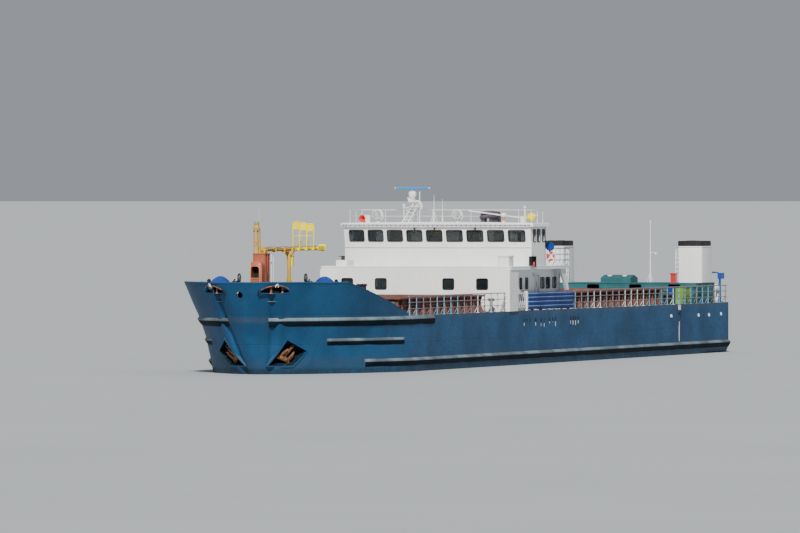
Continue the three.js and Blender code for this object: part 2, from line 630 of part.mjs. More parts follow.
function windlass(side) {
  const deck = forecastle.deck;
  const y = (value) => side * value;
  return join([
    box([34.2, 35.6], [y(2.2), y(4.2)], [deck, deck + 0.18]),
    rod([34.9, y(2.0), deck + 0.75], [34.9, y(4.4), deck + 0.75], 0.14, 10),
    rod([34.9, y(2.9), deck + 0.75], [34.9, y(3.9), deck + 0.75], 0.46, 14),
    box([34.5, 35.3], [y(2.45), y(2.7)], [deck + 0.1, deck + 1.25]),
    box([34.6, 35.2], [y(4.02), y(4.14)], [deck + 0.1, deck + 1.2]),
    rod([34.9, y(2.02), deck + 0.75], [34.9, y(2.3), deck + 0.75], 0.28, 12),
  ]);
}

function funnelStack(side) {
  const { front, back, inner, outer, foot, top, cap } = funnel;
  const range = [Math.min(side * inner, side * outer), Math.max(side * inner, side * outer)];
  const white = prism('y', [[back, foot], [front, foot], [front, top], [back + 0.2, top]], ...range);
  const middle = (inner + outer) / 2;
  const black = box([back + 0.05, front + 0.02], [side * (middle - 0.8), side * (middle + 0.8)], [top - 0.02, cap]);
  return join([white, black]);
}

const engineCasing = () => box([-39.0, -34.6], [-5.45, 5.45], [hull.deck, funnel.foot]);

function sternMast() {
  return join([
    box([-40.5, -40.3], [0.6, 0.9], [hull.deck, hull.deck + 0.08]),
    rod([-40.4, 0.75, hull.deck], [-40.4, 0.75, 8.5], 0.06, 8, 0.035),
  ]);
}

function propellerWheel(side) {
  const { x, y, z, radius, hub, length } = propeller;
  const parts = [rod([x + length / 2, side * y, z], [x - length / 2, side * y, z], hub, 12, hub * 0.7)];
  for (let i = 0; i < 4; i += 1) {
    const blade = new THREE.BoxGeometry(0.07, 0.42, radius - 0.05);
    blade.rotateZ(side * 0.9);
    blade.translate(0, 0, (radius + 0.05) / 2);
    blade.rotateX((Math.PI / 2) * i + Math.PI / 4);
    blade.translate(x, side * y, z);
    parts.push(solid(blade));
  }
  const disc = rod([x + 0.3, side * y, z], [x - 0.3, side * y, z], radius, 24);
  return join(parts).intersect(disc);
}

function rudderBlade(side) {
  const { x, front, back, bottom, top, thick } = rudder;
  const y = side * propeller.y;
  const outline = [[front, y], [front - 0.3, y + thick / 2], [back, y + 0.03], [back, y - 0.03], [front - 0.3, y - thick / 2]];
  return join([
    prism('z', outline, bottom, top),
    rod([x, y, top - 0.1], [x, y, hull.counter - gap], 0.09, 10),
  ]);
}

function lifebuoy() {
  const ring = new THREE.TorusGeometry(0.3, 0.07, 8, 16);
  ring.rotateX(Math.PI / 2);
  const [x, y, disc] = [-1.1, 5.6, 7.03];
  ring.translate(x, y, 6.24);
  return join([
    solid(ring),
    box([x - 0.04, x + 0.04], [y + 0.04, y + 0.12], [boatDeck.top, disc]),
    rod([x, y, disc], [x, y + 0.25, disc], 0.27, 12),
  ]);
}

const barge = new THREE.Group();

function addNode(name, colour, made, metalness = 0.2, roughness = 0.6) {
  const { vertProperties, triVerts } = made.getMesh();
  const geometry = new THREE.BufferGeometry();
  geometry.setAttribute('position', new THREE.BufferAttribute(new Float32Array(vertProperties), 3));
  geometry.setIndex(new THREE.BufferAttribute(new Uint32Array(triVerts), 1));
  const material = new THREE.MeshStandardMaterial({ color: colours[colour], metalness, roughness });
  const mesh = new THREE.Mesh(geometry, material);
  mesh.name = name;
  barge.add(mesh);
}

addNode('hull_bow', 'hullBlue', hullBow());
addNode('bow_bulwark', 'hullBlue', bowBulwark());
addNode('hull_bottom', 'hullBlue', hullBottom());
addNode('hull_midship', 'hullBlue', hullMidship());
addNode('hull_stern', 'hullBlue', hullStern());
addNode('coaming_fore', 'rust', holdCoaming(hold.fore));
addNode('coaming_aft', 'rust', holdCoaming(hold.aft));
addNode('hold_floor_fore', 'rust', holdFloor(hold.fore));
addNode('hold_floor_aft', 'rust', holdFloor(hold.aft));
addNode('house_front', 'white', houseFront());
addNode('house_back', 'white', houseBack());
addNode('boat_deck', 'white', boatDeckSlab());
addNode('bridge_front', 'white', bridgeFront());
addNode('bridge_glass', 'glass', bridgeGlass(), 0, 0.1);
addNode('bridge_back', 'white', bridgeBack());
addNode('bridge_roof', 'white', bridgeRoof());
addNode('roof_rail', 'white', roofRail());
addNode('radar_mast', 'white', radarMast());
addNode('radar_scanner', 'railBlue', radarScanner());
addNode('searchlight_starboard', 'white', searchlight(3.2, -3.85));
addNode('searchlight_port', 'white', searchlight(3.2, 1.15));
addNode('horn', 'red', horn());
addNode('roof_mast', 'white', roofMastPole());
addNode('vent_house', 'ventRed', ventHouse());
addNode('fore_tower', 'ochre', foreTower());
addNode('fore_mast', 'lemon', foreMast());
addNode('mast_crutch', 'ochre', mastCrutch());
addNode('engine_casing', 'teal', engineCasing());
addNode('rail_stern', 'railBlue', railing('y', [-5.1, 5.1], -41.45, hull.deck));
addNode('stern_mast', 'white', sternMast());
addNode('locker_green', 'green', box([-33.6, -31.6], [4.9, 5.5], [hull.deck, 4.3]));
addNode('locker_teal', 'teal', box([-34.5, -33.8], [4.9, 5.5], [hull.deck, 4.3]));
addNode('lifebuoy_post', 'red', lifebuoy());
const d = backDoor;
addNode('bridge_door', 'white', box(
  [bridge.back + 0.02, bridge.back + 0.02 + doorThick], [d.from + 0.01, d.to - gap], [d.sill + 0.02, d.head - 0.02]));
for (const [name, side] of sides) {
  addNode(`wing_tank_${name}`, 'hullBlue', wingTank(side));
  addNode(`anchor_${name}`, 'rust', anchor(side));
  addNode(`rail_fore_${name}`, 'railBlue', railing('x', [8.4, 27.5], side * rail.y, hull.deck));
  addNode(`rail_aft_${name}`, 'railBlue', railing('x', [-40.95, -5.95], side * rail.y, hull.deck));
  addNode(`side_panel_${name}`, 'panelBlue', sidePanel(side));
  addNode(`house_side_${name}`, 'white', houseSide(side));
  addNode(`bridge_side_${name}`, 'white', bridgeSide(side));
  addNode(`windlass_${name}`, 'panelBlue', windlass(side));
  addNode(`funnel_${name}`, 'white', funnelStack(side));
  addNode(`propeller_${name}`, 'bronze', propellerWheel(side), 0.8, 0.4);
  addNode(`rudder_${name}`, 'hullBlue', rudderBlade(side));
  const plane = [side * (house.half - 0.09), side * (house.half - 0.09 + doorThick)];
  addNode(`house_door_${name}`, 'white', box(
    [houseDoor.from + 0.01, houseDoor.to - gap], plane, [houseDoor.sill + 0.02, houseDoor.head - 0.02]));
}

export default barge;
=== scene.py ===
import json
import math

import bmesh
import bpy
import numpy as np
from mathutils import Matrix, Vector

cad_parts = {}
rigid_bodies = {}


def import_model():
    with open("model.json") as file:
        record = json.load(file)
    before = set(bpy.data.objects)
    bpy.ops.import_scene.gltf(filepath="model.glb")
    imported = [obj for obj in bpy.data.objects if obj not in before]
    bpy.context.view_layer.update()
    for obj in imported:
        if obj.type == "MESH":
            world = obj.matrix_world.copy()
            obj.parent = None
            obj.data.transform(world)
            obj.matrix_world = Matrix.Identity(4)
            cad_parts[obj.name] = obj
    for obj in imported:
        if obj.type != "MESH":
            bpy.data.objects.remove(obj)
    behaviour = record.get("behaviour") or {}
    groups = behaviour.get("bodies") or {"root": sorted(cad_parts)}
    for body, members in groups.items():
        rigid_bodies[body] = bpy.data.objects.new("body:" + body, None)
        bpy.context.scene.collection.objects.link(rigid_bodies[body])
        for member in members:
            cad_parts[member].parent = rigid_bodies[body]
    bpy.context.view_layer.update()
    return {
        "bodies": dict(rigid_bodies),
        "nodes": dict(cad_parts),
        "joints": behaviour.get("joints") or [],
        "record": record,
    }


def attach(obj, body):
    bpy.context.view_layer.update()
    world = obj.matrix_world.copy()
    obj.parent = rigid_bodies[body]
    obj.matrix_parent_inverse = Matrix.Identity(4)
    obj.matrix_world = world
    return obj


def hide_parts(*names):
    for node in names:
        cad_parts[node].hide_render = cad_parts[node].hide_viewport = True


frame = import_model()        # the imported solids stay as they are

modelScale = 0.1         # sizes below are the real ship's metres, and the model is a tenth of them
deckZ, foredeckZ, boatDeckZ, roofZ = 3.2, 4.15, 5.82, 8.44    # surfaces that gear stands on
shipSides = ((1, "port"), (-1, "starboard"))


# Shapes. A form is its points and a list of (faces, tone) pairs; the tone picks the paint.

def unit(vectors):
    vectors = np.asarray(vectors, float)
    return vectors / np.maximum(np.linalg.norm(vectors, axis=-1, keepdims=True), 1e-12)


# Every four neighbours of a grid of points make one quad; either direction can close on itself.
def gridForm(points, wrapRows=False, wrapColumns=False, capEnds=False):
    rows, columns = points.shape[:2]
    index = np.arange(rows * columns).reshape(rows, columns)
    caps = [(index[:1, ::-1], 0), (index[-1:], 0)] if capEnds else []
    if wrapRows:
        index = np.vstack([index, index[:1]])
    if wrapColumns:
        index = np.hstack([index, index[:, :1]])
    quads = np.stack([index[:-1, :-1], index[:-1, 1:], index[1:, 1:], index[1:, :-1]], -1)
    return points.reshape(-1, 3), [(quads.reshape(-1, 4), 0)] + caps


def joined(*forms):
    points, faces, start = [], [], 0
    for formPoints, formFaces in forms:
        points.append(formPoints)
        faces += [(array + start, tone) for array, tone in formFaces]
        start += len(formPoints)
    return np.concatenate(points), faces


def painted(form, tone):
    return form[0], [(array, tone) for array, _ in form[1]]


def mirrored(form):
    return form[0] * [1, -1, 1], [(array[:, ::-1], tone) for array, tone in form[1]]


def bothSides(form):
    return joined(form, mirrored(form))


def onSide(form, side):
    return form if side > 0 else mirrored(form)


def moved(form, offset):
    return form[0] + np.asarray(offset, float), form[1]


# The same form again at each offset.
def copies(form, offsets):
    points, faces = form
    offsets = np.atleast_2d(np.asarray(offsets, float))
    steps = (np.arange(len(offsets)) * len(points))[:, None, None]
    repeated = (points[None] + offsets[:, None]).reshape(-1, 3)
    return repeated, [((array[None] + steps).reshape(-1, array.shape[1]), tone) for array, tone in faces]


# A form turned about an axis through a centre: Rodrigues' rotation of every point.
def turned(form, degrees, axis=(0, 0, 1), centre=(0, 0, 0)):
    axis, centre, angle = unit(axis), np.asarray(centre, float), math.radians(degrees)
    arm = form[0] - centre
    along = (arm @ axis)[:, None] * axis
    spun = arm * math.cos(angle) + np.cross(axis, arm) * math.sin(angle) + along * (1 - math.cos(angle))
    return centre + spun, form[1]


def roundSection(radius, sides=8):
    angle = np.arange(sides) * 2 * np.pi / sides + np.pi / sides
    return np.stack([np.cos(angle), np.sin(angle)], -1) * radius


def flatSection(width, height):
    return np.array([[-1, -1], [1, -1], [1, 1], [-1, 1]]) * [width / 2, height / 2]


# A rectangle with quarter circles at its corners, anticlockwise from the lower left.
def softOutline(left, right, low, high, radius, steps=4):
    centres = np.array([[left + radius, low + radius], [right - radius, low + radius],
                        [right - radius, high - radius], [left + radius, high - radius]])
    angle = np.pi + np.arange(4)[:, None] * np.pi / 2 + np.linspace(0, np.pi / 2, steps + 1)
    arcs = centres[:, None] + radius * np.stack([np.cos(angle), np.sin(angle)], -1)
    return arcs.reshape(-1, 2)


def softSection(width, height, radius, steps=2):
    return softOutline(-width / 2, width / 2, -height / 2, height / 2, radius, steps)


# Straight bars: a flat section carried from each start to its end, square to the run.
def beams(starts, ends, section, up=(0, 0, 1), taper=1.0):
    starts, ends = np.broadcast_arrays(np.atleast_2d(np.asarray(starts, float)),
                                       np.atleast_2d(np.asarray(ends, float)))
    run = unit(ends - starts)
    up = np.broadcast_to(np.asarray(up, float), run.shape)
    along = np.abs((run * up).sum(-1, keepdims=True)) > 0.99
    spare = np.where(np.abs(up[:, :1]) > 0.9, [[0.0, 1, 0]], [[1.0, 0, 0]])
    up = np.where(along, spare, up)
    across = unit(np.cross(up, run))
    above = np.cross(run, across)
    ring = section[:, 0, None] * across[:, None] + section[:, 1, None] * above[:, None]
    points = np.stack([starts[:, None] + ring, ends[:, None] + ring * taper], 1)
    index = np.arange(points.size // 3).reshape(len(points), 2, -1)
    low, high = index[:, 0], index[:, 1]
    quads = np.stack([low, np.roll(low, -1, 1), np.roll(high, -1, 1), high], -1)
    return points.reshape(-1, 3), [(quads.reshape(-1, 4), 0), (low[:, ::-1], 0), (high, 0)]


def rods(starts, ends, radius, sides=8, taper=1.0):
    return beams(starts, ends, roundSection(radius, sides), taper=taper)


# Square-edged blocks between their lowest and highest corners.
def blocks(*ranges):
    corners = np.array([[[low for low, high in block], [high for low, high in block]] for block in ranges],
                       float)
    pick = np.array([[i >> 2 & 1, i >> 1 & 1, i & 1] for i in range(8)])
    points = corners[:, :1] * (1 - pick) + corners[:, 1:] * pick
    base = np.array([[0, 1, 3, 2], [4, 6, 7, 5], [0, 4, 5, 1], [2, 3, 7, 6], [0, 2, 6, 4], [1, 5, 7, 3]])
    quads = base[None] + 8 * np.arange(len(points))[:, None, None]
    return points.reshape(-1, 3), [(quads.reshape(-1, 4), 0)]


# An outline in the two other directions, pushed along one axis (0, 1 or 2).
def slab(outline, axis, low, high):
    outline = np.asarray(outline, float)
    points = np.empty((2, len(outline), 3))
    points[..., [i for i in range(3) if i != axis]] = outline
    points[0, :, axis], points[1, :, axis] = low, high
    return gridForm(points, wrapColumns=True, capEnds=True)


# A section carried along a path, mitred where the path turns; up is square to the path.
def alongPath(path, section, up=(0, 0, 1), closed=False):
    path, section = np.asarray(path, float), np.asarray(section, float)
    ahead = unit(np.roll(path, -1, 0) - path)
    behind = np.roll(ahead, 1, 0)
    if not closed:
        ahead[-1], behind[0] = ahead[-2], ahead[0]
    tangent = unit(ahead + behind)
    across = unit(np.cross(np.broadcast_to(np.asarray(up, float), path.shape), tangent))
    above = np.cross(tangent, across)
    mitre = 1 / np.clip((tangent * ahead).sum(-1), 0.5, 1)
    points = (path[:, None] + section[:, 0, None] * (across * mitre[:, None])[:, None]
              + section[:, 1, None] * above[:, None])
    return gridForm(points, wrapRows=closed, wrapColumns=True, capEnds=not closed)


# A pipe along a bent path, its rings kept square by carrying one side vector from point to point.
def pipe(path, radius, sides=8, closed=False):
    path = np.asarray(path, float)
    side = np.array([0.31, 0.57, 0.76])
    ups = []
    ahead = unit(np.roll(path, -1, 0) - path)
    if not closed:
        ahead[-1] = ahead[-2]
    for direction in ahead:
        side = unit(side - direction * (side @ direction))
        ups.append(side)
    return alongPath(path, roundSection(radius, sides), np.array(ups), closed)


# Offsets along the ship, and offsets across it.
def alongShip(xs):
    return np.stack([xs, xs * 0, xs * 0], -1)


def acrossShip(ys):
    return np.stack([ys * 0, ys, ys * 0], -1)


# Pairs become points: an outline in plan at a height, and pairs of breadth or length with height on a
# wall that stands at one X or at one Y.
def atHeight(outline, z):
    return np.column_stack([outline, np.full(len(outline), z)])


def atX(x):
    return lambda flat: np.column_stack([np.full(len(flat), x), flat])


def atY(y):
    return lambda flat: np.column_stack([flat[:, 0], np.full(len(flat), y), flat[:, 1]])


# A profile of radius and distance along the axis, turned fully round.
def lathe(profile, centre, axis=(0, 0, 1), sides=24):
    profile, axis = np.asarray(profile, float), unit(axis)
    side = unit(np.cross(axis, [0, 0, 1] if abs(axis[2]) < 0.9 else [1, 0, 0]))
    angle = np.arange(sides) * 2 * np.pi / sides
    spoke = np.cos(angle)[:, None] * side + np.sin(angle)[:, None] * np.cross(axis, side)
    points = (np.asarray(centre, float) + profile[:, 1, None, None] * axis
              + profile[:, 0, None, None] * spoke)
    return gridForm(points, wrapColumns=True, capEnds=True)


# A profile that closes on itself, turned fully round: a ring with a hole.
def hollowRing(profile, centre, axis, sides):
    points = lathe(profile, centre, axis, sides)[0]
    return gridForm(points.reshape(len(profile), sides, 3), wrapRows=True, wrapColumns=True)


# All of a form's faces are turned over where their areas together point against the outward direction.
def facing(form, outward):
    points, faces = form
    total = np.zeros(3)
    for array, _ in faces:
        total += np.cross(points[array[:, 1]] - points[array[:, 0]],
                          points[array[:, 2]] - points[array[:, 0]]).sum(0)
    turn = -1 if total @ np.asarray(outward, float) < 0 else 1
    return points, [(array[:, ::turn], tone) for array, tone in faces]


# A flat wall of cells with round-cornered openings: a cell with a corner radius keeps a margin all
# round, with four side quads and a fan at each corner; a cell marked None is left out.
# place turns (across, height) into points.
def openWall(across, heights, openings, place, outward, margin=0.06):
    forms = []
    for i in range(len(across) - 1):
        for j in range(len(heights) - 1):
            left, right, low, high = across[i], across[i + 1], heights[j], heights[j + 1]
            corners = np.array([[left, low], [right, low], [right, high], [left, high]], float)
            radius = openings.get((i, j), 0)
            if radius is None:
                continue
            if not radius:
                forms.append((place(corners), [(np.array([[0, 1, 2, 3]]), 0)]))
                continue
            ring = softOutline(left + margin, right - margin, low + margin, high - margin, radius)
            count = len(ring) // 4
            arcs = 4 + np.arange(len(ring)).reshape(4, count)
            sides = np.array([[k, (k + 1) % 4, arcs[(k + 1) % 4, 0], arcs[k, -1]] for k in range(4)])
            corner = np.repeat(np.arange(4), count - 1)
            fans = np.stack([corner, arcs[:, 1:].ravel(), arcs[:, :-1].ravel()], -1)
            forms.append((place(np.vstack([corners, ring])), [(sides, 0), (fans, 0)]))
    return facing(joined(*forms), outward)


def putPiece(name, form, paints, nodes=(), body="hull", bevel=0, thick=0, closed=True, smooth=32):
    points, faces = form
    mesh = bpy.data.meshes.new(name)
    sizes = np.concatenate([np.full(len(array), array.shape[1]) for array, _ in faces])
    loops = np.concatenate([array.ravel() for array, _ in faces])
    tones = np.concatenate([np.full(len(array), tone) for array, tone in faces])
    mesh.vertices.add(len(points))
    mesh.vertices.foreach_set("co", (points * modelScale).ravel().astype(np.float32))
    mesh.loops.add(len(loops))
    mesh.loops.foreach_set("vertex_index", loops.astype(np.int32))
    mesh.polygons.add(len(sizes))
    mesh.polygons.foreach_set("loop_start", (np.cumsum(sizes) - sizes).astype(np.int32))
    mesh.polygons.foreach_set("material_index", tones.astype(np.int32))
    mesh.update(calc_edges=True)
    work = bmesh.new()
    work.from_mesh(mesh)
    if closed:
        bmesh.ops.recalc_face_normals(work, faces=work.faces)
    else:
        bmesh.ops.remove_doubles(work, verts=work.verts, dist=1e-5)
    work.to_mesh(mesh)
    work.free()
    for paint in (paints if isinstance(paints, (list, tuple)) else [paints]):
        mesh.materials.append(paint)
    piece = bpy.data.objects.new(name, mesh)
    bpy.context.scene.collection.objects.link(piece)
    smoothed(mesh, smooth)
    if thick:
        wall = piece.modifiers.new("wall", "SOLIDIFY")
        wall.thickness, wall.offset, wall.use_even_offset = thick * modelScale, -1, True
        bpy.context.view_layer.update()
        settle(piece, smooth)
    if bevel:
        edge = piece.modifiers.new("edge", "BEVEL")
        edge.width, edge.segments, edge.limit_method = bevel * modelScale, 2, "ANGLE"
        edge.angle_limit = math.radians(40)
    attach(piece, body)
    if nodes:
        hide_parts(*nodes)
    return piece


def smoothed(mesh, degrees):
    mesh.polygons.foreach_set("use_smooth", np.ones(len(mesh.polygons), bool))
    mesh.set_sharp_from_angle(angle=math.radians(degrees))


# What a piece's modifiers make of it becomes its mesh.
def settle(piece, degrees):
    shape = bpy.data.meshes.new_from_object(piece.evaluated_get(bpy.context.evaluated_depsgraph_get()))
    piece.modifiers.clear()
    piece.data = shape
    smoothed(shape, degrees)


# Paints, all worked out from Object coordinates.

def addNode(tree, kind, inputs=None, **settings):
    node = tree.nodes.new(kind)
    for name, value in settings.items():
        setattr(node, name, value)
    for name, value in (inputs or {}).items():
        if isinstance(value, bpy.types.NodeSocket):
            tree.links.new(value, node.inputs[name])
        else:
            node.inputs[name].default_value = value
    return node


def maths(tree, operation, first, second=0.5):
    return addNode(tree, "ShaderNodeMath", {0: first, 1: second}, operation=operation).outputs[0]


def between(tree, value, low, high, start=0.0, end=1.0):
    inputs = {"Value": value, "From Min": low, "From Max": high, "To Min": start, "To Max": end}
    return addNode(tree, "ShaderNodeMapRange", inputs, interpolation_type="SMOOTHSTEP").outputs[0]


def mixed(tree, share, first, second):
    first, second = [(*c, 1) if isinstance(c, (tuple, list)) and len(c) == 3 else c
                     for c in (first, second)]
    return addNode(tree, "ShaderNodeMix", {0: share, 6: first, 7: second}, data_type="RGBA").outputs[2]


def speckle(tree, place, scale, detail=5, rough=0.55):
    inputs = {"Vector": place, "Scale": scale, "Detail": detail, "Roughness": rough}
    return addNode(tree, "ShaderNodeTexNoise", inputs).outputs[0]


def objectPlace(tree, stretch=(1, 1, 1)):
    place = addNode(tree, "ShaderNodeTexCoord").outputs["Object"]
    return addNode(tree, "ShaderNodeMapping", {"Vector": place, "Scale": stretch}).outputs[0]


def shade(colour, factor):
    return tuple(min(c * factor, 1) for c in colour)


def newPaint(name):
    paint = bpy.data.materials.new(name)
    paint.use_nodes = True
    return paint, paint.node_tree, paint.node_tree.nodes["Principled BSDF"]


# Painted steel: blotches of lighter and darker paint, run marks down the surface, rust through the
# paint, bands of grime between heights, and plate seams at a pitch along the ship.
def steelPaint(name, base, vary=0.22, blotch=5, runs=0.3, runTint=(0.12, 0.08, 0.06), rust=0.25,
               rustTint=(0.17, 0.065, 0.03), rough=0.5, metal=0.0, bumpy=0.3, bands=(), seams=0, fine=90,
               rustScale=16, across=60, gloss=0.3):
    paint, tree, shader = newPaint(name)
    place = objectPlace(tree)
    wide, small = speckle(tree, place, blotch), speckle(tree, place, fine, 6, 0.65)
    colour = mixed(tree, between(tree, wide, 0.35, 0.65), shade(base, 1 - vary), shade(base, 1 + vary))
    colour = mixed(tree, between(tree, small, 0.3, 0.75, 0, 0.35), colour, shade(base, 0.6))
    streak = speckle(tree, objectPlace(tree, (1, 1, 0.05)), across, 3, 0.6)
    runMask = between(tree, streak, 0.56, 0.74, 0, runs)
    colour = mixed(tree, runMask, colour, runTint)
    patch = speckle(tree, place, rustScale, 8, 0.68)
    rustMask = between(tree, patch, 0.74 - 0.3 * rust, 0.80 - 0.22 * rust)
    for low, high, soft, tint, amount in bands:
        height = addNode(tree, "ShaderNodeSeparateXYZ", {0: place}).outputs["Z"]
        inside = maths(tree, "MULTIPLY",
                       between(tree, height, (low - soft) * modelScale, (low + soft) * modelScale),
                       between(tree, height, (high - soft) * modelScale, (high + soft) * modelScale, 1, 0))
        broken = between(tree, maths(tree, "ADD", streak, patch), 0.72, 1.12, 0.25, 1)
        share = maths(tree, "MULTIPLY", maths(tree, "MULTIPLY", inside, broken), amount)
        colour = mixed(tree, share, colour, tint)
    rustColour = mixed(tree, small, shade(rustTint, 0.5), shade(rustTint, 1.9))
    colour = mixed(tree, rustMask, colour, rustColour)
    height = maths(tree, "ADD", maths(tree, "MULTIPLY", small, 0.35),
                   maths(tree, "MULTIPLY", rustMask, -0.5))
    height = maths(tree, "ADD", height, maths(tree, "MULTIPLY", wide, 1.1))
    if seams:
        spot = addNode(tree, "ShaderNodeSeparateXYZ", {0: place}).outputs
        line = None
        for socket, pitch in ((spot["X"], seams), (spot["Z"], seams * 0.28)):
            wave = maths(tree, "PINGPONG", socket, pitch * modelScale / 2)
            mark = between(tree, wave, 0, 0.0022, 1, 0)
            line = mark if line is None else maths(tree, "MAXIMUM", line, mark)
        colour = mixed(tree, maths(tree, "MULTIPLY", line, 0.3), colour, shade(base, 0.4))
        height = maths(tree, "ADD", height, maths(tree, "MULTIPLY", line, -0.8))
    bump = addNode(tree, "ShaderNodeBump", {"Height": height, "Strength": bumpy, "Distance": 0.004})
    wear = between(tree, small, 0.3, 0.7, rough - 0.08, rough + 0.1)
    dull = addNode(tree, "ShaderNodeMix", {0: rustMask, 2: wear, 3: 0.88}).outputs[0]
    tree.links.new(colour, shader.inputs["Base Color"])
    tree.links.new(dull, shader.inputs["Roughness"])
    tree.links.new(bump.outputs[0], shader.inputs["Normal"])
    shader.inputs["Metallic"].default_value = metal
    shader.inputs["Specular IOR Level"].default_value = gloss
    return paint


# Window glass: dark, glossy and partly see-through, with a film of dust.
def paneGlass(name, tint, clear):
    paint, tree, shader = newPaint(name)
    dust = speckle(tree, objectPlace(tree), 45, 5, 0.6)
    tree.links.new(mixed(tree, between(tree, dust, 0.35, 0.75, 0, 0.5), tint, shade(tint, 3.2)),
                   shader.inputs["Base Color"])
    tree.links.new(between(tree, dust, 0.3, 0.8, 0.04, 0.2), shader.inputs["Roughness"])
    shader.inputs["Alpha"].default_value = clear
    shader.inputs["Specular IOR Level"].default_value = 0.6
    return paint


# Cloth or rope: fine crossed weave from two wave patterns, with soft colour change.
def weavePaint(name, base, scale=420):
    paint, tree, shader = newPaint(name)
    place = objectPlace(tree)
    threads = [addNode(tree, "ShaderNodeTexWave", {"Vector": place, "Scale": scale, "Distortion": 1.5},
                       bands_direction=way).outputs[1] for way in ("Y", "Z")]
    weave = maths(tree, "MAXIMUM", *threads)
    fold = speckle(tree, place, 30, 3)
    colour = mixed(tree, between(tree, fold, 0.3, 0.7), shade(base, 0.65), shade(base, 1.15))
    colour = mixed(tree, maths(tree, "MULTIPLY", weave, 0.25), colour, shade(base, 0.5))
    bump = addNode(tree, "ShaderNodeBump", {"Height": weave, "Strength": 0.4, "Distance": 0.0006})
    tree.links.new(colour, shader.inputs["Base Color"])
    tree.links.new(bump.outputs[0], shader.inputs["Normal"])
    shader.inputs["Roughness"].default_value = 0.9
    return paint


paintTints = {
    "hull": (0.018, 0.076, 0.168), "deck": (0.085, 0.1, 0.1), "white": (0.8, 0.82, 0.83),
    "coaming": (0.13, 0.055, 0.04), "panel": (0.012, 0.05, 0.25), "vent": (0.33, 0.085, 0.045),
    "ochre": (0.55, 0.33, 0.04), "lemon": (0.9, 0.74, 0.0), "railBlue": (0.16, 0.36, 0.52),
    "railWhite": (0.62, 0.66, 0.68), "railDull": (0.23, 0.19, 0.22), "black": (0.012, 0.012, 0.014),
    "green": (0.13, 0.28, 0.04), "teal": (0.02, 0.12, 0.14), "red": (0.6, 0.035, 0.03),
    "bronze": (0.42, 0.28, 0.1), "steel": (0.2, 0.19, 0.18), "scanner": (0.03, 0.22, 0.55),
}
hullBlue = steelPaint("hull_blue", paintTints["hull"], vary=0.2, blotch=3.2, runs=0.55,
                      runTint=(0.035, 0.06, 0.08),
                      rust=0.25, rough=0.5, bumpy=0.3, seams=6, across=45, gloss=0.08,
                      bands=((0.3, 0.9, 0.3, (0.05, 0.07, 0.085), 0.35),
                             (-0.1, 0.3, 0.12, (0.02, 0.035, 0.04), 0.75),
                             (2.95, 3.22, 0.14, (0.09, 0.085, 0.08), 0.35),
                             (-2.2, -0.1, 0.15, (0.11, 0.035, 0.025), 0.9)))
strakeTop = steelPaint("strake_top", (0.12, 0.17, 0.21), vary=0.45, runs=0.5, rust=0.5, rough=0.6,
                       rustScale=30)
# Near-black painted shade for the strakes' undersides and the inner walls and floor of the anchor pockets.
paintedShadeDark = steelPaint("painted_shade_dark", (0.006, 0.014, 0.022), vary=0.3, runs=0.2, rust=0.25, rough=0.7,
                         gloss=0.05)
deckPaint = steelPaint("deck_paint", paintTints["deck"], vary=0.3, blotch=7, runs=0, rust=0.55, rough=0.7,
                       bumpy=0.5, seams=3)
holdPaint = steelPaint("hold_steel", (0.15, 0.1, 0.08), vary=0.35, runs=0.5, rust=0.85, rough=0.75,
                       bumpy=0.6, seams=3)
coamingPaint = steelPaint("coaming_brown", paintTints["coaming"], vary=0.3, runs=0.45, rust=0.6, rough=0.65)
whitePaint = steelPaint("house_white", paintTints["white"], vary=0.04, runs=0.1,
                        runTint=(0.45, 0.36, 0.27), rust=0.02,
                        rough=0.38, bumpy=0.12, across=80)
whiteGear = steelPaint("gear_white", (0.72, 0.74, 0.75), vary=0.1, runs=0.25, runTint=(0.4, 0.3, 0.2),
                       rust=0.1, rough=0.45)
panelPaint = steelPaint("panel_blue", paintTints["panel"], vary=0.25, runs=0.35, runTint=(0.1, 0.2, 0.42),
                        rust=0.1, rough=0.5, gloss=0.1)
# Pale blue painted highlight along the top of each rib of the side panels.
panelRibHighlight = steelPaint("panel_rib_highlight", (0.3, 0.46, 0.68), vary=0.3, runs=0.2, rust=0.1, rough=0.45)
ventPaint = steelPaint("vent_red", paintTints["vent"], vary=0.25, runs=0.3, rust=0.3, rough=0.55)
ventEdge = steelPaint("vent_edge", (0.62, 0.25, 0.12), vary=0.2, runs=0.2, rust=0.15, rough=0.5)
ventPanel = steelPaint("vent_panel", (0.34, 0.13, 0.045), vary=0.25, runs=0.4, rust=0.4, rough=0.6)
gearPurple = steelPaint("gear_purple", (0.07, 0.06, 0.08), vary=0.4, blotch=12, runs=0.2, rust=0.25,
                        rough=0.7)
greyPaint = steelPaint("lamp_grey", (0.24, 0.27, 0.2), vary=0.2, runs=0.2, rust=0.2, rough=0.5)
ochrePaint = steelPaint("ochre_yellow", paintTints["ochre"], vary=0.2, runs=0.3, rust=0.4, rough=0.5,
                        rustScale=40)
lemonPaint = steelPaint("lemon_yellow", paintTints["lemon"], vary=0.1, runs=0.15, rust=0.08, rough=0.45)
# Black paint, also used as painted shade in the fairlead boxes, hawse tube, scupper holes and vent mouth.
blackAndShadePaint = steelPaint("black_paint_and_shade", paintTints["black"], vary=0.4, runs=0.2, rust=0.25, rough=0.6)
railPaints = [steelPaint("rail_" + key, paintTints["rail" + key], vary=0.15, runs=0.2, rust=0.25,
                         rough=0.5, rustScale=45)
              for key in ("Blue", "White", "Dull")]
greenPaint = steelPaint("locker_green", paintTints["green"], vary=0.2, runs=0.3, rust=0.15, rough=0.45)
tealPaint = steelPaint("casing_teal", paintTints["teal"], vary=0.25, runs=0.35, rust=0.2, rough=0.5,
                       seams=2.2)
redPaint = steelPaint("signal_red", paintTints["red"], vary=0.15, runs=0.15, rust=0.05, rough=0.35)
scannerPaint = steelPaint("scanner_blue", paintTints["scanner"], vary=0.12, runs=0.1, rust=0.02, rough=0.3)
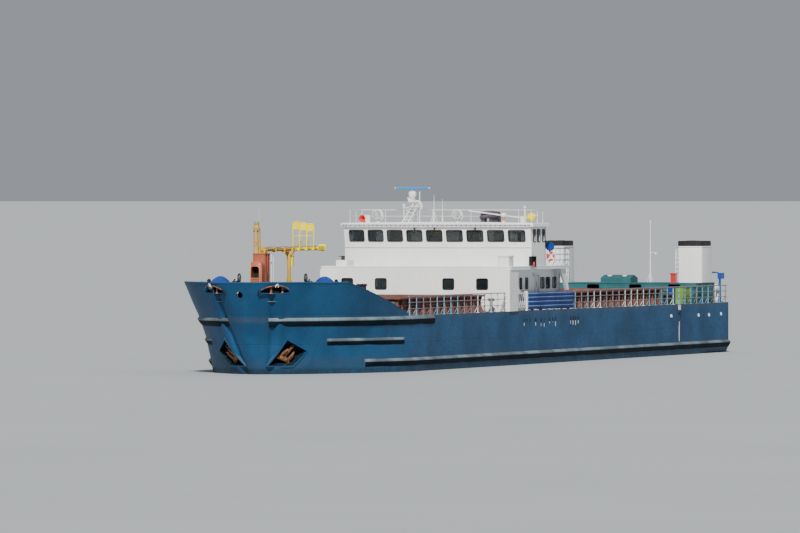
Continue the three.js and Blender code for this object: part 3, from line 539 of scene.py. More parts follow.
bronzePaint = steelPaint("screw_bronze", paintTints["bronze"], vary=0.25, runs=0.1, rust=0.1, rough=0.35,
                         metal=0.85,
                         rustTint=(0.06, 0.12, 0.08))
steelBare = steelPaint("worn_steel", paintTints["steel"], vary=0.3, runs=0.1, rust=0.55, rough=0.5,
                       metal=0.5, rustScale=50)
anchorPaint = steelPaint("anchor_rust", (0.2, 0.09, 0.045), vary=0.5, blotch=25, runs=0.2, rust=0.8,
                         rough=0.8,
                         rustTint=(0.3, 0.12, 0.05), rustScale=40)
rubberPaint = steelPaint("rubber_black", (0.015, 0.015, 0.016), vary=0.3, runs=0, rust=0, rough=0.7)
darkGlass = paneGlass("window_glass", (0.012, 0.016, 0.018), 0.5)
lensGlass = paneGlass("lamp_glass", (0.3, 0.33, 0.34), 0.6)
roomPaint = steelPaint("room_panel", (0.12, 0.09, 0.06), vary=0.2, runs=0, rust=0, rough=0.6)
curtainPale = weavePaint("curtain_pale", (0.7, 0.74, 0.76))
curtainYellow = weavePaint("curtain_yellow", (0.85, 0.6, 0.06))
print("paints ready")


# The hull: level lines of the bow from a table, straight sides, and a stern that rises to a counter.

hullSizes = {
    "half": 5.82, "deck": deckZ, "bowStart": 25.9, "deckStem": 39.75, "afterBody": -28.9,
    "plate": 0.1, "bowRound": 0.62, "wingX": 27.7, "wingTop": 3.3, "slopeX": 36, "railTop": 5.17,
    "creaseDepth": 0.17, "dents": 0.016,
}
# height, half breadth, where the curve starts, the stem, fullness
bowTable = np.array([
    [-1.95, 5.15, 25.9, 35.4, 1.8], [-1.65, 5.62, 25.9, 36.2, 1.8], [-1.2, 5.82, 25.9, 36.8, 1.75],
    [0, 5.82, 25.9, 37.67, 1.65], [1.9, 5.82, 26.2, 38.9, 1.8], [3.2, 5.82, 27.4, 39.75, 1.95],
    [4.15, 5.82, 28.8, 40.35, 2.1], [5.17, 5.82, 30, 41, 2.3]])
sternPlan = np.array([[-41.6, 0], [-41.6, 1.7], [-41.6, 3.4], [-41.6, 4.8], [-41.6, 5.2], [-41.56, 5.4],
                      [-41.46, 5.58],
                      [-41.3, 5.71], [-41.1, 5.79], [-40.9, 5.82]])
sternSides = np.linspace(-40.9, hullSizes["afterBody"], 17)[1:-1]


# Breadth at a station and height: half * (1 - share ** fullness) ** bowRound, where the share runs
# from the start of the curve to the stem. Forward of the bow's start a station slides with the stem.
def skin(station, z, out=0.0):
    h = hullSizes
    half, start, stem, fullness = [np.interp(z, bowTable[:, 0], bowTable[:, i]) for i in (1, 2, 3, 4)]
    reach = np.clip((station - h["bowStart"]) / (h["deckStem"] - h["bowStart"]), 0, 1)
    x = np.where(station > h["bowStart"], h["bowStart"] + (stem + out - h["bowStart"]) * reach, station)
    share = np.clip((x - start) / (stem + out - start), 0, 1)
    y = (half + out) * np.maximum(1 - share ** fullness, 0) ** h["bowRound"]
    return x, y


# The round nose stands between two creases that run down the bow: a groove along each crease.
def creased(x, y, z):
    crease = np.interp(z, [-1.95, 0, 3.2, 5.17], [0.45, 0.66, 1.42, 1.72])
    fade = np.interp(z, [-1.2, -0.2, 4.6, 5.1], [0, 1, 1, 0]) * (x > 33)
    groove = -hullSizes["creaseDepth"] * np.exp(-((y - crease) / 0.15) ** 2)
    ridge = 0.08 * np.exp(-((y - crease - 0.36) / 0.16) ** 2)
    nose = 0.05 * np.clip(1 - (y / crease) ** 2, 0, 1)
    push = (groove + ridge + nose) * fade
    centre = np.maximum(x - 3.2, 0)
    away = unit(np.stack([x - centre, y], -1))
    return x + push * away[..., 0], y + push * away[..., 1] * (y > 0.01)


# Half the breadth at a place and a height, and -1 ahead of the stem.
def breadthAt(x, z):
    half, start, stem, fullness = [np.interp(z, bowTable[:, 0], bowTable[:, i]) for i in (1, 2, 3, 4)]
    share = np.clip((x - start) / (stem - start), 0, 1)
    return np.where(x > stem, -1, half * np.maximum(1 - share ** fullness, 0) ** hullSizes["bowRound"])


# Where lines from points along one direction leave the bow, by halving the interval.
def ontoBow(points, direction, reach=1.5):
    points, direction = np.asarray(points, float), unit(direction)
    low, high = np.full(len(points), -reach), np.full(len(points), reach)
    for _ in range(30):
        middle = (low + high) / 2
        spot = points + middle[:, None] * direction
        inside = np.abs(spot[:, 1]) < breadthAt(spot[:, 0], spot[:, 2])
        low, high = np.where(inside, middle, low), np.where(inside, high, middle)
    return points + low[:, None] * direction


def bulwarkTop(x):
    h = hullSizes
    return np.interp(x, [h["wingX"], h["slopeX"]], [h["wingTop"], h["railTop"]])


sideHeights = np.array([-1.95, -1.8, -1.65, -1.4, -1.2, -0.9, -0.5, -0.2, 0, 0.2, 0.4, 0.6, 0.8, 1.0, 1.25,
                        1.5, 1.75,
                        2.0, 2.25, 2.5, 2.75, 3.0, 3.2])
midStations = np.linspace(hullSizes["afterBody"], hullSizes["bowStart"], 90)
bowStations = hullSizes["bowStart"] + (hullSizes["deckStem"] - hullSizes["bowStart"]) * np.sin(
    np.pi / 2 * np.linspace(0, 1, 105)[1:])
bowStations = np.sort(np.append(bowStations, [hullSizes["wingX"], 35.164]))


# The bottom rises from the flat keel to the counter.
def sternBottom(x):
    return np.interp(x, [-41.6, -41.1, -36, -28.9], [0.1, -0.36, -0.36, -1.95])


# Port side from the middle of the transom to the stem, one column of heights at each station.
def portSide():
    h = hullSizes
    runX = np.append(sternPlan[:, 0], sternSides)
    runY = np.append(sternPlan[:, 1], np.full(len(sternSides), h["half"]))
    bottom = sternBottom(runX)[:, None]
    z = np.where(sideHeights < -1.15, bottom + sideHeights + 1.95,
                 bottom + 0.75 + (h["deck"] - bottom - 0.75) * (sideHeights + 1.2) / 4.4)
    tuck = (h["half"] - np.interp(sideHeights, bowTable[:, 0], bowTable[:, 1]))[None]
    run = unit(np.gradient(np.stack([runX, runY], -1), axis=0))
    run[0] = [0, 1]
    normal = np.stack([-run[:, 1], run[:, 0]], -1)
    x, y = runX[:, None] - tuck * normal[:, :1], runY[:, None] - tuck * normal[:, 1:]
    y[0] = 0
    stern = np.stack([x, y, z], -1)
    station, height = np.meshgrid(np.append(midStations, bowStations), sideHeights, indexing="ij")
    x, y = skin(station, height)
    x, y = creased(x, y, height)
    dent = hullSizes["dents"] * np.sin(x * 1.9) * np.sin(height * 2.6 + x * 0.4) * (np.abs(x) < 33)
    return np.concatenate([stern, np.stack([x, y + dent, height], -1)])


# The bulwark is the skin carried on from the deck to its sloping top, which is found by repeating.
def bowBulwark():
    stations = bowStations[bowStations >= hullSizes["wingX"]]
    share = np.linspace(0, 1, 11)
    top = np.full(len(stations), 4.2)
    for _ in range(12):
        top = bulwarkTop(skin(stations, top)[0])
    z = hullSizes["deck"] + (top[:, None] - hullSizes["deck"]) * share
    x, y = skin(np.broadcast_to(stations[:, None], z.shape), z)
    x, y = creased(x, y, z)
    return np.stack([x, y, z], -1)


port = portSide()
turn = 4                                     # the stern's corner: the bottom is skinned from here forward
bottomHalf = port[turn:, 0]
acrossShare = np.linspace(1, -1, 15)[:, None]
bottomGrid = bottomHalf[:, None] * [1, 0, 1] + bottomHalf[:, None] * [0, 1, 0] * acrossShare
upper = bowBulwark()
shellForm = joined(bothSides(facing(gridForm(port), (0, 1, 0))), facing(gridForm(bottomGrid), (0, 0, -1)),
                   bothSides(facing(gridForm(upper), (0, 1, 0))))
hullShell = putPiece("hull_shell", shellForm, [hullBlue], closed=False,
                     thick=hullSizes["plate"], smooth=50,
                     nodes=("hull_bow", "bow_bulwark", "hull_bottom", "hull_midship", "hull_stern",
                            "wing_tank_port",
                            "wing_tank_starboard"))

anchorSizes = {"corners": [[37.8, 1.83, 1.96], [36.5, 2.5, 1.38], [36.9, 1.87, 0.5], [37.8, 0.7, 0.5]],
               "outward": [0.563, 0.636, -0.528], "depth": 0.62, "rim": 0.09}
pocketOut = unit(anchorSizes["outward"])
pocketCorners = np.array(anchorSizes["corners"])
pocketCentre = pocketCorners.mean(0)
pocketUp = pocketCorners[0] - pocketCorners[3]
pocketUp = unit(pocketUp - pocketOut * (pocketUp @ pocketOut))
pocketAcross = np.cross(pocketOut, pocketUp)


# The pocket's outline in its own plane, grown by a margin, with sampled sides.
def pocketRing(grow=0.0, steps=10):
    flat = pocketCorners - ((pocketCorners - pocketCentre) @ pocketOut)[:, None] * pocketOut
    arm = unit(flat - pocketCentre)
    flat = flat + arm * grow * 1.4
    share = np.linspace(0, 1, steps, endpoint=False)[:, None]
    return np.concatenate([flat[i] + (flat[(i + 1) % 4] - flat[i]) * share for i in range(4)])


fairleadSizes = {"x": 39.88, "y": 1.82, "z": 4.75, "long": 1.7, "high": 0.27, "hawseZ": 4.5, "hawse": 0.19}
fairSpot = np.array([fairleadSizes["x"], fairleadSizes["y"], fairleadSizes["z"]])
fairOut = unit([1, 1, 0])
fairAlong = np.array([-1, 1, 0]) / math.sqrt(2)


# The mooring opening's outline: an almost level sill under a low arch.
def fairRing(grow):
    share = np.linspace(-1, 1, 13)
    half = fairleadSizes["long"] / 2 + grow
    low = -fairleadSizes["high"] / 2 - grow - 0.03 * (1 - share ** 2)
    high = -0.06 + grow + 0.27 * (1 - share ** 2) ** 0.8
    flat = np.concatenate([np.stack([share * half, low], -1), np.stack([share * half, high], -1)[::-1]])
    return fairSpot + flat[:, :1] * fairAlong + flat[:, 1:] * [0, 0, 1]


# Openings cut through the finished shell: anchor pockets, fairleads and the centre hawse.
def cutShell():
    ring = pocketRing()
    pocket = gridForm(np.stack([ring - pocketOut * 0.45, ring + pocketOut * 0.9]), wrapColumns=True,
                      capEnds=True)
    ring = fairRing(0)
    slot = gridForm(np.stack([ring - fairOut * 0.6, ring + fairOut * 0.6]), wrapColumns=True, capEnds=True)
    hole = rods([39.6, -0.06, fairleadSizes["hawseZ"]], [42, -0.06, fairleadSizes["hawseZ"]],
                fairleadSizes["hawse"], 24)
    cutter = putPiece("cutter", joined(bothSides(pocket), bothSides(slot), hole), [hullBlue])
    cut = hullShell.modifiers.new("cut", "BOOLEAN")
    cut.object, cut.operation, cut.solver = cutter, "DIFFERENCE", "EXACT"
    settle(hullShell, 40)
    bpy.data.objects.remove(cutter)


cutShell()
print("hull shell done")

# Rubbing strakes: top, edge and foot heights, depth, after end, fore end.
strakeTable = [(3.19, 3.03, 2.69, 0.15, 22.7, 39.25), (2.0, 1.87, 1.6, 0.13, 28.3, 36.15),
               (0.8, 0.66, 0.35, 0.15, -41.5, 33.0)]


# Each strake is a wedge carried along the skin; its rows stand off the plating by the strake's depth.
def strakeForm(top, edge, foot, depth, after, fore):
    rows = np.array([[foot - 0.03, -0.08], [foot, 0], [foot + (edge - foot) * 0.5, depth * 0.62],
                     [edge - 0.03, depth * 0.97],
                     [edge, depth], [edge + 0.03, depth * 0.93], [top - 0.05, depth * 0.42], [top, 0],
                     [top, -0.08]])
    stations = np.append(midStations, bowStations)
    stations = stations[(stations > after) & (stations < fore)]
    stations = np.concatenate([[max(after, hullSizes["afterBody"])], stations, [fore]])
    taper = np.clip(np.minimum((fore - stations) / 0.5, (stations - after) / 0.3 if after > -29 else 9),
                    0.0, 1)
    z, out = rows[:, 0], rows[:, 1]
    out = np.where(out > 0, out * np.maximum(taper[:, None], 0.08), out)
    x, y = skin(stations[:, None], np.broadcast_to(z, (len(stations), len(z))), out)
    points = np.stack([x, y, np.broadcast_to(z, x.shape)], -1)
    if after < -29:
        run = np.concatenate([sternPlan, np.stack([sternSides, sternSides * 0 + hullSizes["half"]], -1)])
        along = unit(np.gradient(run, axis=0))
        along[0] = [0, 1]
        normal = np.stack([-along[:, 1], along[:, 0]], -1)
        flat = run[:, None] + normal[:, None] * rows[None, :, 1:]
        points = np.concatenate([np.concatenate([flat, np.broadcast_to(z[:, None], (len(run), len(z), 1))],
                                                -1), points])
    form = gridForm(points, wrapColumns=True, capEnds=True)
    columns = len(rows)
    # The edge and upper slope take the worn strake paint; the underside and back take the near-black
    # painted shade.
    tone = np.tile(np.where((np.arange(columns) >= 3) & (np.arange(columns) < 8), 0, 1), len(points) - 1)
    quads = form[1][0][0]
    return form[0], [(quads[tone == t], t) for t in (0, 1)] + form[1][1:]


strakes = joined(*[bothSides(strakeForm(*row)) for row in strakeTable])
putPiece("rubbing_strakes", strakes, [strakeTop, paintedShadeDark], smooth=40)
print("strakes done")


# Decks: plates between stations, as wide as the hull there, laid over the beams.
def deckStrip(xs, inner, outer, z):
    share = np.linspace(0, 1, 5)
    low, high = inner(xs)[:, None], outer(xs)[:, None]
    y = low + (high - low) * share
    return facing(gridForm(np.stack([np.broadcast_to(xs[:, None], y.shape), y, np.full(y.shape, z)], -1)),
                  (0, 0, 1))


def planHalf(x):
    aft = np.interp(x, sternPlan[4:, 0], sternPlan[4:, 1])
    return np.where(x < -40.9, aft, np.where(x > 25, breadthAt(x, deckZ), hullSizes["half"])) - 0.02


holdSizes = {"half": 4.4, "floor": -0.95, "bottom": -1.05, "fore": (9.6, 25.6), "aft": (-28.9, -6.4),
             "frames": 1.4}
flatWide, atHold = (lambda x: -planHalf(x)), (lambda x: np.full(len(x), holdSizes["half"]))
decks = [deckStrip(np.concatenate([[-41.58, -41.5, -41.3, -41.1], np.linspace(-40.9, -28.9, 10)]),
                   flatWide, planHalf, deckZ),
         deckStrip(np.linspace(-6.4, 9.6, 13), flatWide, planHalf, deckZ),
         deckStrip(np.linspace(25.6, 31.6, 7), flatWide, planHalf, deckZ)]
for low, high in (holdSizes["aft"], holdSizes["fore"]):
    decks.append(bothSides(deckStrip(np.linspace(low, high, 17), atHold, planHalf, deckZ)))
foreX = np.concatenate([np.linspace(31.6, 38, 12), 38 + 2.3 * np.sin(np.linspace(0.1, np.pi / 2, 14))])
decks.append(deckStrip(foreX, lambda x: -np.maximum(breadthAt(x, foredeckZ) - 0.05, 0.02),
                       lambda x: np.maximum(breadthAt(x, foredeckZ) - 0.05, 0.02), foredeckZ))
putPiece("deck_plates", joined(*decks), [deckPaint], closed=False, thick=0.05)

# The step up to the foredeck: a stiffened bulkhead with a short ladder on each side.
stepX, breakHalf = 31.6, float(breadthAt(np.array(31.6), deckZ)) - 0.06
stepForms = [blocks([(stepX, stepX + 0.06), (-breakHalf, breakHalf), (deckZ, foredeckZ)])]
stiffY = np.linspace(-breakHalf + 0.4, breakHalf - 0.4, 12)
stepForms.append(copies(blocks([(stepX - 0.1, stepX), (-0.03, 0.03), (deckZ, 4.12)]), acrossShip(stiffY)))
for y in (-2.2, 2.2):
    stepForms.append(beams([[stepX - 0.5, y - 0.3, deckZ], [stepX - 0.5, y + 0.3, deckZ]],
                           [[stepX - 0.02, y - 0.3, 4.2], [stepX - 0.02, y + 0.3, 4.2]],
                           flatSection(0.04, 0.12)))
    treads = [((stepX - 0.5 + 0.16 * i - 0.1, stepX - 0.5 + 0.16 * i + 0.1), (y - 0.3, y + 0.3),
               (3.42 + 0.26 * i, 3.46 + 0.26 * i))
              for i in range(3)]
    stepForms.append(blocks(*treads))
putPiece("foredeck_step", joined(*stepForms), [hullBlue], bevel=0.012)


# Four walls round a hold; the side walls run past the inner ends by over.
def fourWalls(back, front, half, wall, over, low, high):
    return blocks([(back - over, front + over), (half, half + wall), (low, high)],
                  [(back - over, front + over), (-half - wall, -half), (low, high)],
                  [(back - wall, back), (-half, half), (low, high)],
                  [(front, front + wall), (-half, half), (low, high)])


# Hold walls: plating with upright frames all round, and two bars across each end.
def holdForm(back, front):
    half, low = holdSizes["half"], holdSizes["floor"]
    forms = [fourWalls(back, front, half, 0.05, 0, holdSizes["bottom"], deckZ)]
    count = int((front - back) / holdSizes["frames"])
    xs = np.linspace(back + 0.5, front - 0.5, count)
    rib = joined(blocks([(-0.03, 0.03), (half - 0.09, half), (low, 3.16)]),
                 blocks([(-0.08, 0.08), (half - 0.1, half - 0.08), (low, 3.16)]))
    forms.append(bothSides(copies(rib, alongShip(xs))))
    ys = np.linspace(-half + 0.5, half - 0.5, 7)
    for x, face in ((back, 1), (front, -1)):
        post = blocks([sorted((x, x + face * 0.09)), (-0.04, 0.04), (low, 3.16)])
        forms.append(copies(post, acrossShip(ys)))
        forms.append(copies(blocks([sorted((x, x + face * 0.1)), (-half, half), (0, 0.06)]),
                            [[0, 0, 0.9], [0, 0, 2.1]]))
    return joined(*forms)


# The hold's floor: loose plates in rows, with a narrow gap between them.
def floorForm(back, front):
    xs = np.linspace(back + 0.02, front - 0.02, 2 + int((front - back) / 2.0))
    ys = np.linspace(-holdSizes["half"] + 0.11, holdSizes["half"] - 0.11, 6)
    plates = [((xs[i] + 0.012, xs[i + 1] - 0.012), (ys[j] + 0.012, ys[j + 1] - 0.012),
               (holdSizes["bottom"] + 0.01, holdSizes["floor"]))
              for i in range(len(xs) - 1) for j in range(5)]
    return blocks(*plates)


putPiece("hold_walls", joined(holdForm(*holdSizes["fore"]), holdForm(*holdSizes["aft"])), [holdPaint])
putPiece("hold_floor_plates_fore", floorForm(*holdSizes["fore"]), [holdPaint],
         nodes=["hold_floor_fore"], bevel=0.01)
putPiece("hold_floor_plates_aft", floorForm(*holdSizes["aft"]), [holdPaint],
         nodes=["hold_floor_aft"], bevel=0.01)

coamingSizes = {"wall": 0.14, "top": 4.2, "pitch": 1.4}


# Coaming: four walls, a flange round the top and another half-way, brackets outside at each frame.
def coamingForm(back, front):
    c = coamingSizes
    half, wall, top = holdSizes["half"], c["wall"], c["top"]
    out = half + wall
    forms = [fourWalls(back, front, half, wall, wall, deckZ, top)]
    loop = np.array([[back - wall, -out, 0], [front + wall, -out, 0], [front + wall, out, 0],
                     [back - wall, out, 0]])
    for z, wide, thick in ((top - 0.05, 0.22, 0.1), (3.72, 0.09, 0.05)):
        forms.append(alongPath(loop + [0, 0, z], flatSection(wide, thick) - [wide / 2 * 0.98, 0],
                               closed=True))
    count = int((front - back) / c["pitch"])
    xs = np.linspace(back + 0.3, front - 0.3, count + 1)
    outline = [[out - 0.01, deckZ], [out + 0.235, deckZ], [out + 0.235, 3.3], [out + 0.1, 3.75],
               [out + 0.2, top - 0.05], [out - 0.01, top - 0.05]]
    bracket = joined(slab(outline, 0, -0.02, 0.02),
                     beams([0, out + 0.235, 3.25], [0, out + 0.1, 3.75], flatSection(0.09, 0.02)),
                     beams([0, out + 0.1, 3.75], [0, out + 0.2, top - 0.06], flatSection(0.09, 0.02)))
    forms.append(bothSides(copies(bracket, alongShip(xs))))
    return joined(*forms)


putPiece("coaming_plates_fore", coamingForm(*holdSizes["fore"]), [coamingPaint],
         nodes=["coaming_fore"], bevel=0.012)
putPiece("coaming_plates_aft", coamingForm(*holdSizes["aft"]), [coamingPaint],
         nodes=["coaming_aft"], bevel=0.012)
print("decks, holds and coamings done")


# Foredeck: bulwark cap and stays, fairleads, hawse, anchors, bollards and windlasses.

# The bulwark's cap follows its upper edge; each stay is a plate that runs from the deck up the inside.
def bulwarkTrim():
    edge = upper[:, -1]
    path = np.concatenate([edge, (edge * [1, -1, 1])[::-1][1:]])
    away = unit(path * [0.3, 1, 0] - [11, 0, 0])
    forms = [alongPath(path - away * 0.08 * [1, 1, 0], softSection(0.17, 0.07, 0.03))]
    for x in np.arange(32.4, 39.2, 0.85):
        low, high = foredeckZ, float(bulwarkTop(x)) - 0.12
        y, head = [float(breadthAt(np.array(x), z)) - 0.17 for z in (low, high)]
        outline = [[y, low], [y - 0.42, low], [y - 0.34, low + 0.1], [head - 0.07, high],
                   [min(head, y + 0.1), high]]
        forms.append(bothSides(slab(outline, 0, x - 0.015, x + 0.015)))
    return joined(*forms)


putPiece("bulwark_trim", bulwarkTrim(), [hullBlue], smooth=40)


# Mooring opening: a rolled lip, a bar arched over it, rollers behind, a white eye, and a dark box inboard.
def fairleadParts():
    lip = alongPath(ontoBow(fairRing(0.02), fairOut) - fairOut * 0.01, roundSection(0.035, 8), up=fairOut,
                    closed=True)
    arch = np.linspace(-0.95, 0.9, 15)
    rise = (-0.02 + 0.29 * (1 - arch ** 2) ** 0.8)[:, None] * [0, 0, 1]
    bar = fairSpot + arch[:, None] * 0.86 * fairAlong + rise
    bar = ontoBow(bar, fairOut) + fairOut * 0.03
    rollers = [lathe([[0.07, -0.22], [0.1, -0.19], [0.06, -0.1], [0.06, 0.12], [0.1, 0.2], [0.03, 0.24]],
                     fairSpot - fairOut * 0.12 + fairAlong * at, sides=14) for at in (-0.2, 0.5)]
    eyePath = np.array([[0, -0.06, 0.2], [0.05, -0.05, 0.3], [0.07, 0, 0.36], [0.05, 0.05, 0.3],
                        [0, 0.06, 0.2]])
    eye = ontoBow([fairSpot + [0, 0, 0.28]], fairOut)[0] + np.stack(
        [eyePath[:, 0] * 0.7 - eyePath[:, 1], eyePath[:, 0] * 0.7 + eyePath[:, 1], eyePath[:, 2] - 0.3], -1)
    # The box behind the opening is painted black, a painted shade for the inside of the opening.
    ring = fairRing(0.1)
    shell = np.stack([ring - fairOut * 0.12, ring - fairOut * 0.5,
                      ring * 0.9 + ring.mean(0) * 0.1 - fairOut * 0.55])
    box = gridForm(shell, wrapColumns=True)
    back = (shell[-1], [(np.arange(len(ring))[None, :], 0)])
    return (joined(painted(lip, 0), painted(alongPath(bar, softSection(0.05, 0.05, 0.015), up=fairOut), 1),
                   painted(joined(*rollers), 1), painted(alongPath(eye, roundSection(0.035, 8)), 2)),
            joined(box, back))


fairGear, fairShadeBox = fairleadParts()
putPiece("fairleads", bothSides(fairGear), [hullBlue, anchorPaint, whiteGear], smooth=40)
putPiece("fairlead_shade_boxes", bothSides(facing(fairShadeBox, fairOut)), [blackAndShadePaint], closed=False,
         thick=0.02, smooth=40)

# Centre hawse: a thick rolled lip over a tube that ends in a plate; tube and plate are black as painted
# shade.
angle = np.linspace(0, 2 * np.pi, 33)[:-1]
hawseAt, hawse = np.array([40.3, -0.06, fairleadSizes["hawseZ"]]), fairleadSizes["hawse"]
hawseRing = ontoBow(hawseAt + (hawse + 0.05) * np.stack([angle * 0, np.cos(angle), np.sin(angle)], -1),
                    (1, 0, 0))
hawseLip = alongPath(hawseRing - [0.03, 0, 0], roundSection(0.06, 10), up=(1, 0, 0), closed=True)
hawseShadeTube = lathe([[0.05, -0.6], [hawse + 0.03, -0.6], [hawse + 0.03, 0.12], [hawse, 0.12], [hawse, -0.56],
                   [0.05, -0.56]],
                  hawseAt - [0.2, 0, 0], (1, 0, 0), 28)
putPiece("centre_hawse_ring", joined(painted(hawseLip, 0), painted(hawseShadeTube, 1)), [hullBlue, blackAndShadePaint],
         smooth=50)


# The pocket is a tray: its rim follows the skin, its walls run in to a flat floor.
def pocketForm():
    depth, rim = anchorSizes["depth"], anchorSizes["rim"]
    inner, outer = pocketRing(), pocketRing(rim)
    rimIn, rimOut = [ontoBow(ring, pocketOut) + pocketOut * 0.05 for ring in (inner, outer)]
    rows = [outer - pocketOut * (depth + 0.05), rimOut, rimIn, inner - pocketOut * depth]
    form = gridForm(np.stack(rows), wrapColumns=True, capEnds=True)
    # The inner walls and floor take the second paint, a near-black painted shade for the inside of the
    # recess.
    quads = form[1][0][0].reshape(3, -1, 4)
    return form[0], [(quads[:2].reshape(-1, 4), 0), (quads[2], 1), (form[1][1][0], 0), (form[1][2][0], 1)]


putPiece("anchor_pockets", bothSides(pocketForm()), [hullBlue, paintedShadeDark], smooth=40)


# A stockless anchor hanging crown down: shank, crown, and two flukes that stand out and up.
def anchorForm():
    centre = pocketCentre - pocketOut * 0.2

    def at(across, up, out):
        return centre + pocketAcross * across + pocketUp * up + pocketOut * out

    forms = [beams(at(0, -0.36, 0), at(0, 0.46, 0), softSection(0.19, 0.15, 0.04), up=pocketOut,
                   taper=0.75),
             lathe([[0.05, -0.37], [0.13, -0.34], [0.155, -0.2], [0.17, 0], [0.155, 0.2], [0.13, 0.34],
                    [0.05, 0.37]],
                   at(0, -0.34, 0.02), pocketAcross, 14)]
    for side in (-1, 1):
        path = np.array([at(side * 0.3, -0.38, 0.0), at(side * 0.31, -0.18, 0.08),
                         at(side * 0.29, 0.06, 0.13), at(side * 0.24, 0.3, 0.15)])
        widths = np.array([1.0, 1.05, 0.75, 0.2])
        fluke = softSection(0.22, 0.12, 0.04)
        tangent = unit(np.gradient(path, axis=0))
        across = unit(np.cross(pocketOut, tangent))
        above = np.cross(tangent, across)
        wide = fluke[:, 0, None] * across[:, None] * widths[:, None, None]
        ring = wide + fluke[:, 1, None] * above[:, None]
        forms.append(gridForm(path[:, None] + ring, wrapColumns=True, capEnds=True))
        forms.append(beams(at(side * 0.16, -0.45, -0.03), at(side * 0.44, -0.42, 0.1),
                           softSection(0.16, 0.1, 0.03), up=pocketOut))
    ring = np.arange(16) * np.pi / 8
    shackle = at(0, 0.5, 0) + 0.09 * (np.cos(ring)[:, None] * pocketUp + np.sin(ring)[:, None] * pocketOut)
    forms.append(alongPath(shackle, roundSection(0.03, 6), up=pocketAcross, closed=True))
    forms.append(rods(at(0, -0.1, -0.4), at(0, -0.1, -0.02), 0.08, 10))
    return joined(*forms)


for side, name in shipSides:
    putPiece("anchor_" + name + "_cast", onSide(anchorForm(), side), [anchorPaint],
             nodes=["anchor_" + name], smooth=45)

bollardSizes = {"bow": [(36.9, 2.8, foredeckZ), (33.4, 4.7, foredeckZ)],
                "stern": [(-39.65, 4.9, deckZ), (-29.55, 4.9, deckZ)], "apart": 0.7}


# A pair of bitts on one plate: a lipped post turned round, twice, with a cross pin.
def bollardPair(x, y, z, high=0.9):
    post = lathe([[0.2, 0], [0.17, 0.06], [0.155, 0.12], [0.155, high - 0.14], [0.2, high - 0.1],
                  [0.21, high - 0.05], [0.19, high], [0.03, high + 0.02]],
                 (x, y, z), sides=18)
    pin = rods([x, y - 0.3, z + high * 0.6], [x, y + 0.3, z + high * 0.6], 0.035, 8)
    plate = blocks([(x - bollardSizes["apart"] - 0.3, x + 0.3), (y - 0.28, y + 0.28), (z, z + 0.05)])
    return joined(copies(joined(post, pin), [[0, 0, 0], [-bollardSizes["apart"], 0, 0]]), plate)


bitts = [bothSides(bollardPair(*spot)) for spot in bollardSizes["bow"]]
bitts += [bothSides(bollardPair(*spot, 0.6)) for spot in bollardSizes["stern"]]
putPiece("bollards", joined(*bitts), [blackAndShadePaint], smooth=40)

windlassSizes = {"x": 34.9, "z": 4.9, "deck": foredeckZ, "hood": (2.42, 3.78, 5.5),
                 "wheel": (1.98, 5.38, 0.25)}


# A wheel of bent bar: a rim and crossed spokes.
def handWheel(centre, radius, axis=(0, 1, 0), thick=0.025):
    section = [[radius - thick, -thick], [radius + thick, -thick], [radius + thick, thick],
               [radius - thick, thick]]
    rim = hollowRing(section, centre, axis, 24)
    first = unit(np.cross(axis, (0.3, 0.2, 1)))
    second = np.cross(axis, first)
    spokes = [rods(np.asarray(centre) - way * radius, np.asarray(centre) + way * radius, thick * 0.8, 6)
              for way in (first, second)]
    return joined(rim, *spokes)


# Windlass: bed, frames, rope drum under a domed hood, chain wheel, warping head, motor and handwheel.
def windlassForm():
    w = windlassSizes
    x, z, deck = w["x"], w["z"], w["deck"]
    bed = [blocks([(34.2, 35.6), (2.2, 2.34), (deck, deck + 0.18)],
                  [(34.2, 35.6), (4.06, 4.2), (deck, deck + 0.18)],
                  [(34.25, 34.4), (2.3, 4.1), (deck, deck + 0.14)],
                  [(35.4, 35.55), (2.3, 4.1), (deck, deck + 0.14)])]
    frame = [[x - 0.42, deck + 0.1], [x + 0.42, deck + 0.1], [x + 0.2, z + 0.2], [x - 0.2, z + 0.2]]
    bed += [slab(frame, 1, y, y + 0.07) for y in (2.34, 3.9, 4.05)]
    low, high, top = w["hood"]
    across = np.linspace(0, 1, 15)
    rise = np.sin(np.pi * across) ** 0.55
    along = np.linspace(-1, 1, 13)
    spread = np.sqrt(np.maximum(1 - along ** 2, 0)) ** 0.5
    dome = np.stack(np.broadcast_arrays(x + 0.62 * along[:, None], low + (high - low) * across[None],
                                        z - 0.25 + (top - z + 0.25) * spread[:, None] * rise[None]), -1)
    hood = (dome.reshape(-1, 3), gridForm(dome)[1])
    skirt = slab(softOutline(x - 0.6, x + 0.6, low, high, 0.12), 2, z - 0.4, z - 0.22)
    motor = lathe([[0.05, 0], [0.24, 0.03], [0.26, 0.1], [0.26, 0.62], [0.22, 0.7], [0.05, 0.72]],
                  (x - 0.82, 2.5, z - 0.2),
                  (0, 1, 0), 20)
    shaft = rods([x, 2.0, z], [x, 4.4, z], 0.09, 12)
    drum = lathe([[0.44, 0], [0.44, 0.05], [0.24, 0.06], [0.24, 0.5], [0.44, 0.51], [0.44, 0.56]],
                 (x, 3.25, z), (0, 1, 0), 28)
    wheel = lathe([[0.34, 0], [0.34, 0.04], [0.25, 0.07], [0.22, 0.12], [0.25, 0.17], [0.34, 0.2],
                   [0.34, 0.24]], (x, 2.1, z),
                  (0, 1, 0), 28)
    head = lathe([[0.3, 0], [0.3, 0.04], [0.16, 0.1], [0.14, 0.22], [0.2, 0.3], [0.26, 0.34],
                  [0.04, 0.36]], (x, 4.2, z),
                 (0, 1, 0), 22)
    at, height, radius = w["wheel"]
    brake = joined(handWheel((x, at, height), radius), rods([x, at, deck + 0.1], [x, at, height], 0.035, 8))
    steel = joined(shaft, drum, wheel, head, brake)
    return joined(painted(joined(*bed, hood, skirt, motor), 0), painted(steel, 1))


